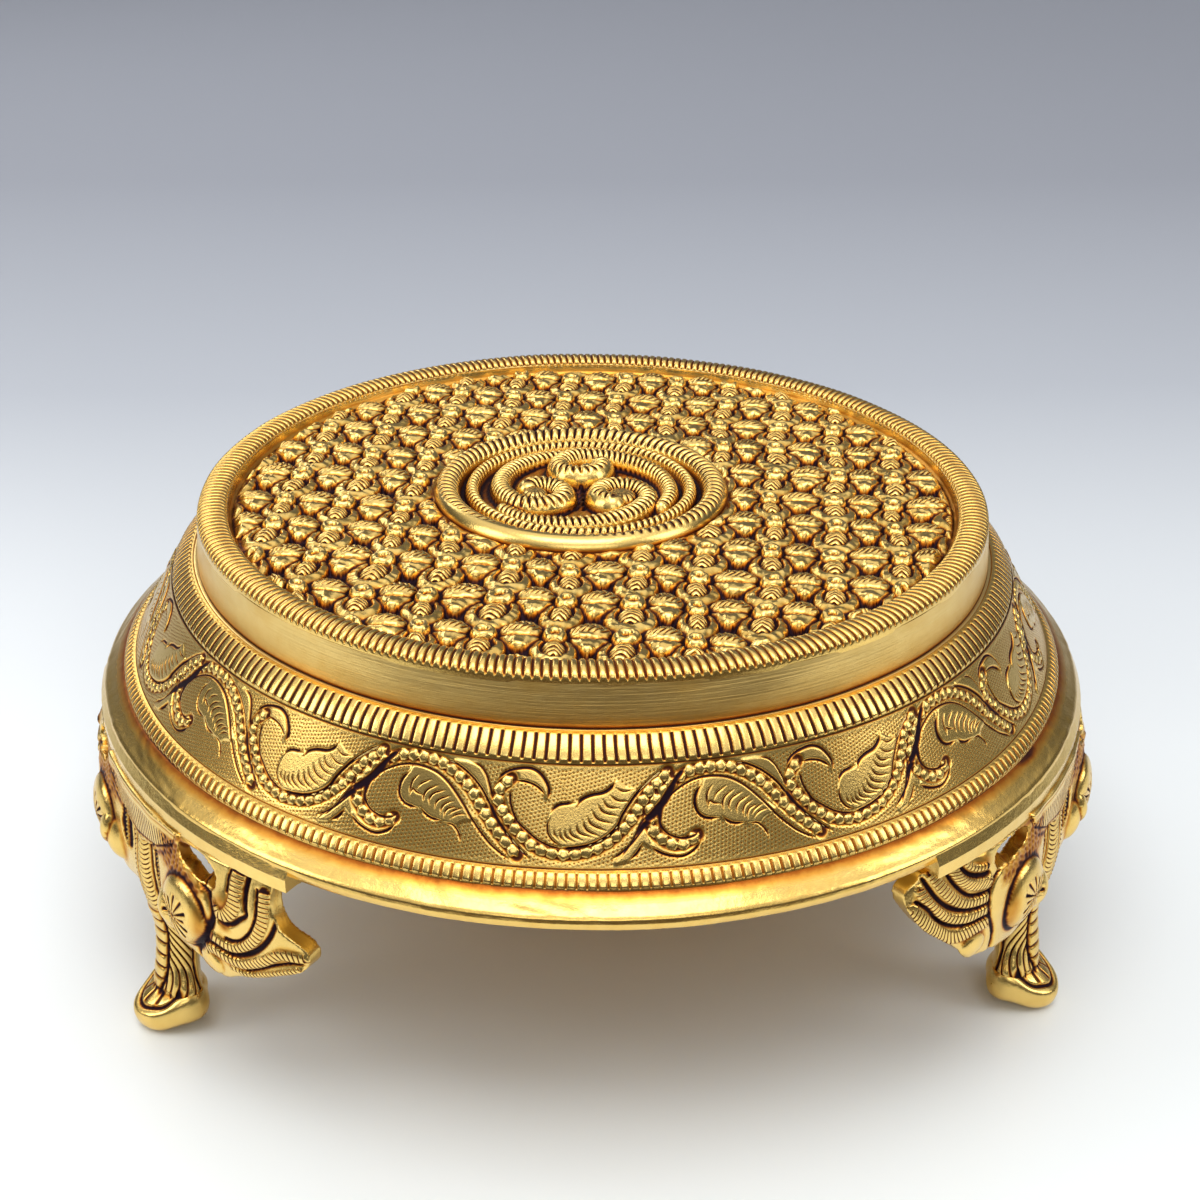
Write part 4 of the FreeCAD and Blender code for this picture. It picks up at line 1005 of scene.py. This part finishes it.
class Chasing:
    """Lift, stains with painted shade, and struck lines over the skin of one leg that points along the first
    axis.
    """

    def __init__(self, local, facing):
        self.u, self.w, self.z = local.T
        self.arc = 100.0 * np.arctan2(self.w, self.u)
        self.side = np.abs(self.arc)
        self.outward = (facing[:, 0] * self.u + facing[:, 1] * self.w) / np.hypot(self.u, self.w)
        self.front = step_up(self.outward, 0.05, 0.35)
        self.lift, self.stain, self.phase, self.weight = np.zeros((4, len(local)))

    def strike(self, phase, weight):
        """Struck lines where they weigh more than those already there."""
        mine = weight > self.weight
        self.phase[mine] = phase[mine]
        self.weight[mine] = weight[mine]

    def darken(self, stain):
        """Darkening for stains and for painted shade, wherever that is darker than what is there."""
        np.maximum(self.stain, stain, out=self.stain)

    def carve(self, line, depth, stain):
        """Sunk and stained line."""
        self.lift -= depth * line
        self.darken(stain * line)


def chase_wing(arc, level, grooves, feathers):
    """Lift, stained grooves and struck lines of one wing over arc and height."""
    lift, stain, phase, weight = np.zeros((4, *arc.shape))
    for half, pitch, slant, points in feathers:
        run, side, _ = along_path(arc, level, smooth_path(points), half + 0.3)
        on = step_up(half - np.abs(side), -0.05, 0.30)
        mine = on > weight
        phase = np.where(mine, run / pitch + slant * side / pitch, phase)
        weight = np.where(mine, on, weight)
        lift = np.maximum(lift, 0.42 * on * dome(side, half + 0.3))
    for half, points in grooves:
        _, side, _ = along_path(arc, level, smooth_path(points), 3.0 * half)
        cut = bell(side, half)
        lift -= (0.35 + 0.75 * half) * cut
        stain = np.maximum(stain, 0.80 * cut)
        weight = weight * (1 - cut)
    return lift, stain, phase, weight


def chase_wings(leg):
    """Both wings with their end lobes and curls."""
    arc, side, z, front = leg.arc, leg.side, leg.z, leg.front
    for hand, grooves, feathers in ((1, DROOPING_GROOVES, DROOPING_FEATHERS),
                                    (-1, LIFTED_GROOVES, LIFTED_FEATHERS)):
        near = (hand * arc > 20.0) & (leg.outward > 0.0) & (z < 54.0)
        lift, stain, phase, weight = chase_wing(side[near], z[near], grooves, feathers)
        share = front[near] * step_up(hand * arc[near], 20.0, 23.0)
        leg.lift[near] += lift * share
        leg.stain[near] = np.maximum(leg.stain[near], stain * share)
        leg.phase[near] = phase
        leg.weight[near] = weight * share
    lobe_at, lobe_level = np.where(arc > 0, 26.4, 35.2), np.where(arc > 0, 31.0, 34.9)
    lobe = unit(1 - ((side - lobe_at) / 3.0) ** 2 - ((z - lobe_level) / 2.6) ** 2)
    leg.lift += 0.9 * np.sqrt(lobe) * front
    curl_at, curl_level = np.where(arc > 0, 30.9, 33.0), np.where(arc > 0, 46.4, 52.0)
    curl = np.exp(-((side - curl_at) ** 2 + (z - curl_level) ** 2) / 1.9 ** 2) * front
    leg.lift += 0.5 * curl
    leg.darken(0.52 * curl)
    leg.darken(0.60 * bell(side - 31.4, 1.6) * bell(z - 41.0, 0.9) * front * (arc > 0))


def chase_knobs(leg):
    """Round knobs at the sides, with short radial cuts, a stained roof and painted shade on the outer flank.
    """
    arc, side, z, front = leg.arc, leg.side, leg.z, leg.front
    across, up = side - 19.8, z - 38.9
    oval = (across / 6.9) ** 2 + (up / 7.0) ** 2
    on_side = front * (side > 8.0)
    leg.lift += 2.2 * np.sqrt(unit(1 - oval)) * on_side
    ring = bell(np.sqrt(oval) - 1.06, 0.08) * on_side * step_up(side, 10.0, 14.0)
    # the groove round each knob stained, with painted shade making it darker on the outer, lower side
    leg.darken((0.34 + 0.26 * step_up(across - 0.5 * up, 1.0, 5.0)) * ring)
    roof = step_up(z, 43.5, 46.0) * step_up(side, 9.0, 13.0) * step_up(30.0 - side, 0.0, 3.0)
    roof *= step_up(oval, 1.0, 1.2) * front * step_up(52.5 - z, 0.0, 1.5)
    crumb = np.sin(2.3 * arc + 1.7 * z + 1.5 * np.sin(0.9 * z))
    crumb *= np.sin(1.3 * arc - 2.9 * z + 2.0 * np.sin(0.7 * arc))
    leg.lift += 0.16 * crumb * roof
    leg.darken((0.44 + 0.16 * crumb) * roof)
    # painted shade: the knob's outer flank darker
    leg.darken(0.46 * (step_up(across, 2.4, 6.0) * step_up(1.1 - oval, 0.0, 0.2) * on_side))
    turn = np.arctan2(up + 0.2, across + 0.6)
    reach = np.hypot(up + 0.2, across + 0.6)
    spoke = turn * KNOB_CUTS / TURN
    length = 3.4 + 1.4 * np.abs(np.sin(np.round(spoke) * 2.4))
    radial = step_up(reach, 0.5, 1.0) * step_up(length - reach, 0.0, 0.5) * on_side
    radial *= 1 - 0.5 * step_up(turn, 0.5, 1.1) * step_up(2.0 - turn, 0.0, 0.6)
    leg.strike(spoke, 1.1 * radial)
    leg.carve(radial * bell(from_whole(spoke), 0.17), 0.30, 0.70)
    leg.carve(bell(reach, 0.50) * on_side, 0.4, 0.9)


def chase_slit(leg):
    """Narrow dark leaf with a beaded rib between spine and knob."""
    across = leg.side - 7.6
    slit = unit(1 - (across / 2.3) ** 2 - ((leg.z - 41.5) / 5.2) ** 2)
    leg.lift -= 0.9 * np.sqrt(slit) * leg.front
    leg.darken(0.90 * step_up(slit, 0.0, 0.25) * leg.front)
    bead = bell(across - 0.4, 0.46) * step_up(slit, 0.0, 0.2)
    leg.lift += 0.8 * bead * (0.6 + 0.4 * np.cos(TURN * leg.z / 0.95)) * leg.front
    leg.stain -= 0.7 * bead * leg.front


def chase_spine(leg):
    """Spine of scales above the ribbon, with its rib and borders."""
    w, z, front = np.abs(leg.w), leg.z, leg.front
    spine = step_up(4.7 - w, 0.0, 0.4) * step_up(z, 27.5, 29.0) * step_up(45.0 - z, 0.0, 0.8) * front
    column = w - 2.2
    scale = (z - 0.40 * column ** 2) / 1.08
    leg.strike(scale, step_up(1.75 - np.abs(column), 0.0, 0.45) * spine)
    leg.lift += 0.22 * (0.5 - (scale - np.floor(scale))) * spine * step_up(1.9 - np.abs(column), 0.0, 0.3)
    leg.carve(bell(w, 0.28) * spine, 0.30, 0.75)
    leg.carve(bell(w - 4.5, 0.38) * step_up(z, 26.0, 28.5) * step_up(45.5 - z, 0, 1) * front, 0.45, 0.88)


def chase_trunk(leg):
    """Notched ribbon down the trunk, a veined blade on each side and the seam behind it."""
    z = leg.z
    axis, deep, wide = (np.interp(z, TRUNK_LEVELS, row) for row in (TRUNK_OUT, TRUNK_DEEP, TRUNK_WIDE))
    turned = np.abs(np.arctan2(leg.w / wide, (leg.u - axis) / deep))
    low = step_up(28.5 - z, 0.0, 1.5) * step_up(z, 7.0, 8.5)
    edge = math.radians(27.0) * step_up(z, 6.0, 14.0) + math.radians(8.0)
    ribbon = step_up(edge - turned, -0.05, 0.08) * low
    notch = bell(from_whole(z / 2.75), 0.12) * ribbon
    leg.lift += 0.35 * ribbon - 0.42 * notch
    leg.darken(0.80 * notch)
    leg.carve(bell(turned - edge - 0.06, 0.075) * low, 0.40, 0.85)
    across = (turned - edge) * 4.6
    blade = step_up(across, 0.1, 0.6) * step_up(math.radians(112.0) - turned, 0.0, 0.1) * low
    bent = 12.0 + 2.2 * np.logaddexp(0.0, (z - 12.0) / 2.2)
    vein = (bent + 1.25 * across) / 1.75
    leg.strike(vein, 0.9 * blade)
    leg.lift -= 0.22 * bell(from_whole(vein), 0.2) * blade
    leg.carve(bell(turned - math.radians(116.0), 0.10) * low, 0.55, 0.92)


def chase_foot(leg):
    """Shallow shell inside a smooth rolled lip."""
    w, z = leg.w, leg.z
    out, up = leg.u - TOE_AT[0], z - TOE_AT[1]
    run = out * math.cos(TOE_SLANT) - up * math.sin(TOE_SLANT)
    oval = np.sqrt((run / 7.7) ** 2 + (w / 6.9) ** 2)
    rise = out * math.sin(TOE_SLANT) + up * math.cos(TOE_SLANT)
    upper = step_up(rise, 0.4, 1.2) * step_up(10.5 - z, 0.0, 2.0)
    waves = 0.015 * np.cos(9 * np.arctan2(w, run + 3.0))
    leg.carve(bell(oval - 0.70 - waves, 0.045) * upper, 0.50, 0.92)
    leg.lift += 0.45 * bell(oval - 0.86, 0.10) * upper
    leg.strike(np.arctan2(w, run + 5.0) * SHELL_CUTS / TURN, 0.9 * step_up(0.66 - oval, 0.0, 0.1) * upper)
    heel = bell(run + 3.0, 3.8) * step_up(np.abs(w), 2.8, 5.4) * step_up(14.5 - z, 0.0, 5.0)
    leg.lift += 1.5 * heel * step_up(z, 0.2, 4.0)


def chase_collar(leg):
    """Hatched crescent under the apron."""
    side, z, front = leg.side, leg.z, leg.front
    above = z - np.interp(side, COLLAR_ARC, COLLAR_EDGE)
    collar = step_up(above, 0.6, 0.9) * step_up(51.3 - z, 0.0, 0.5) * step_up(17.0 - side, 0, 0.5) * front
    leg.strike(leg.arc + 0.10 * z, 1.3 * collar)
    for level in (above - 0.45, 3.0 * (z - 52.6)):
        leg.carve(bell(level, 0.24) * step_up(17.5 - side, 0.0, 0.5) * front, 0.25, 0.80)
    leg.darken(0.62 * bell(above + 0.9, 0.9) * front * step_up(side, 4.0, 6.0) * step_up(24.0 - side, 0, 2))


def cast_unevenness(local):
    """Slow seeded waves of the casting."""
    rng = np.random.default_rng(12)
    wave = np.zeros(len(local))
    for _ in range(10):
        k = rng.normal(size=3) * 0.55
        wave += np.sin(local @ k + TURN * rng.random())
    return 0.035 * wave


def chase_leg():
    """Points, faces, patina with painted shade, and struck lines of the chased leg, pointing along the first
    axis.
    """
    local, facing, faces = leg_skin()
    leg = Chasing(local, facing)
    for chase in (chase_wings, chase_knobs, chase_slit, chase_spine, chase_trunk, chase_foot, chase_collar):
        chase(leg)
    leg.lift += cast_unevenness(local)
    calm = 1.0 - step_up(leg.z, 53.4, 53.9)
    done = local + facing * (leg.lift * calm)[:, None]
    done[:, 2] = np.maximum(done[:, 2], 0.0)
    # dirt wherever the surface is hollow
    pairs = np.concatenate([faces[:, [k, (k + 1) % 4]] for k in range(4)])
    sunk = ((neighbour_mean(done, pairs, len(done), 26) - done) * facing).sum(axis=1)
    leg.stain[:] = unit(np.maximum(leg.stain, 0.0) + 0.50 * np.clip(sunk / 0.20, -0.25, 1.2))
    # painted shade: the sides of the leg that face in, towards the stand, darker
    leg.darken(0.30 * step_up(-leg.outward, 0.1, 0.5) * step_up(leg.side, 4.0, 10.0))
    return done, faces, leg.stain, (leg.phase, leg.weight)


def make_leg_looks():
    """The chased leg at its three places."""
    done, faces, stain, strokes = chase_leg()
    for name, degrees in LEG_TURNS.items():
        turn = math.radians(degrees)
        x = done[:, 0] * math.sin(turn) + done[:, 1] * math.cos(turn)
        y = -done[:, 0] * math.cos(turn) + done[:, 1] * math.sin(turn)
        add_piece(name + "_chased", np.stack([x, y, done[:, 2]], axis=-1), faces, stain, LEG, name,
                  strokes)


# Light, floor and camera
SKY_STOPS = ((0.0, 0.40), (0.49, 0.36), (0.52, 0.10), (0.62, 0.10), (0.72, 0.26), (0.84, 0.85), (1.0, 1.22))
# floor colours from the near side to the back, with painted shade: a dark band near the front, out of sight,
# that the brass reflects and that darkens the shadows, and painted dimming towards the back
FLOOR_NEAR, FLOOR_FAR = -0.40, 0.60
FLOOR_SHADE_STOPS = ((0.0, (0.040, 0.022, 0.006)), (0.19, (0.06, 0.035, 0.012)), (0.23, (0.82, 0.86, 0.86)),
               (0.44, (0.80, 0.84, 0.86)), (0.70, (0.50, 0.53, 0.58)), (1.0, (0.38, 0.40, 0.45)))
LIGHT_AIM = (0, 0, 0.07)
# name, place, size, power and colour of each soft light
LIGHTS = (
    ("overhead", (-0.05, -0.30, 1.05), (0.85, 0.55), 4.6, (1.0, 0.99, 0.96)),
    ("key_left", (-0.95, -0.20, 0.60), (0.45, 0.6), 2.9, (1.0, 0.98, 0.95)),
    ("key_right", (0.95, -0.30, 0.65), (0.45, 0.6), 2.5, (1.0, 0.98, 0.96)),
    ("front_high", (0.0, -1.05, 0.72), (0.9, 0.28), 1.3, (1.0, 0.98, 0.95)),
    ("back_left", (-0.55, 0.85, 0.62), (0.5, 0.35), 1.4, (1.0, 1.0, 1.0)),
)


def soft_light(name, at, size, power, colour):
    """Large soft rectangle of light that faces the stand."""
    data = bpy.data.lights.new(name, "AREA")
    data.shape = "RECTANGLE"
    data.size, data.size_y = size
    data.energy = power
    data.color = colour
    lamp = bpy.data.objects.new(name, data)
    lamp.location = at
    lamp.rotation_euler = (Vector(LIGHT_AIM) - Vector(at)).to_track_quat("-Z", "Y").to_euler()
    bpy.context.scene.collection.objects.link(lamp)


def make_world():
    """Pale studio: bright above, darker low down."""
    world = bpy.data.worlds.new("studio")
    bpy.context.scene.world = world
    world.use_nodes = True
    tree = world.node_tree
    where = add_node(tree, "TexCoord", {}).outputs["Generated"]
    height = add_node(tree, "SeparateXYZ", {0: where}).outputs["Z"]
    share = add_node(tree, "Math", {0: height, 1: 0.5, 2: 0.5}, operation="MULTIPLY_ADD").outputs[0]
    sky = add_ramp(tree, share, [(at, (grey, grey, grey * 1.02)) for at, grey in SKY_STOPS])
    feed(tree, tree.nodes["Background"], {"Color": sky, "Strength": 1.0})


def make_floor():
    """Pale floor that rises softly into a backdrop, with painted shade: dark near the front and dimmer
    towards the back.
    """
    bend = np.linspace(0.06, math.pi / 2, 20)
    run = np.concatenate([np.linspace(-1.5, 1.6, 12), 1.6 + 0.9 * np.sin(bend), np.full(8, 2.5)])
    rise = np.concatenate([np.zeros(12), 0.9 * (1 - np.cos(bend)), np.linspace(1.1, 2.8, 8)])
    points = [(side * 3.0, y, z) for y, z in zip(run, rise) for side in (-1, 1)]
    faces = [(2 * k, 2 * k + 1, 2 * k + 3, 2 * k + 2) for k in range(len(run) - 1)]
    mesh = bpy.data.meshes.new("floor")
    mesh.from_pydata(points, [], faces)
    for polygon in mesh.polygons:
        polygon.use_smooth = True
    material = bpy.data.materials.new("floor_painted_shade")
    material.use_nodes = True
    tree = material.node_tree
    where = add_node(tree, "TexCoord", {}).outputs["Object"]
    depth = add_node(tree, "SeparateXYZ", {0: where}).outputs["Y"]
    share = add_node(tree, "MapRange", {"From Min": FLOOR_NEAR, "From Max": FLOOR_FAR, "Value": depth})
    # painted shade: the floor darkens in a band near the front and towards the back
    colour = add_ramp(tree, share.outputs["Result"], FLOOR_SHADE_STOPS)
    feed(tree, tree.nodes["Principled BSDF"], {"Roughness": 0.30, "Base Color": colour})
    mesh.materials.append(material)
    floor = bpy.data.objects.new("floor", mesh)
    bpy.context.scene.collection.objects.link(floor)


CAMERA_BACK = 354.4
CAMERA_UP = 246.7
CAMERA_TILT = math.radians(26.951)
CAMERA_YAW = math.radians(0.254)
CAMERA_ROLL = math.radians(0.628)
CAMERA_LENS = 56.926
STAND_TURN = math.radians(-2.94)


def make_camera():
    """Camera at the photograph's place, as fitted to the circles of the rings."""
    forward = Vector((math.sin(CAMERA_YAW) * math.cos(CAMERA_TILT),
                      math.cos(CAMERA_YAW) * math.cos(CAMERA_TILT), -math.sin(CAMERA_TILT)))
    right = Vector((math.cos(CAMERA_YAW), -math.sin(CAMERA_YAW), 0))
    up = right.cross(forward)
    rolled_right = right * math.cos(CAMERA_ROLL) + up * math.sin(CAMERA_ROLL)
    rolled_up = up * math.cos(CAMERA_ROLL) - right * math.sin(CAMERA_ROLL)
    turn = Matrix.Rotation(STAND_TURN, 3, "Z")
    place = turn @ Vector((0, -CAMERA_BACK, CAMERA_UP)) * MM + Vector((0, AXIS_Y * MM, 0))
    axes = Matrix((turn @ rolled_right, turn @ rolled_up, -(turn @ forward))).transposed()
    data = bpy.data.cameras.new("camera")
    data.lens = CAMERA_LENS
    data.sensor_width = 36.0
    data.sensor_fit = "HORIZONTAL"
    data.clip_start = 0.01
    data.clip_end = 20.0
    camera = bpy.data.objects.new("camera", data)
    camera.matrix_world = Matrix.Translation(place) @ axes.to_4x4()
    bpy.context.scene.collection.objects.link(camera)
    bpy.context.scene.camera = camera


bpy.context.scene.view_settings.view_transform = "Standard"
make_camera()
make_world()
make_floor()
for light in LIGHTS:
    soft_light(*light)
dress_cad()
drum_band()
rim_rope()
for bead in BEADS:
    milled_bead(*bead)
flange_band()
frieze_panels()
deck_field()
medallion_relief()
make_leg_looks()
hidden_parts()
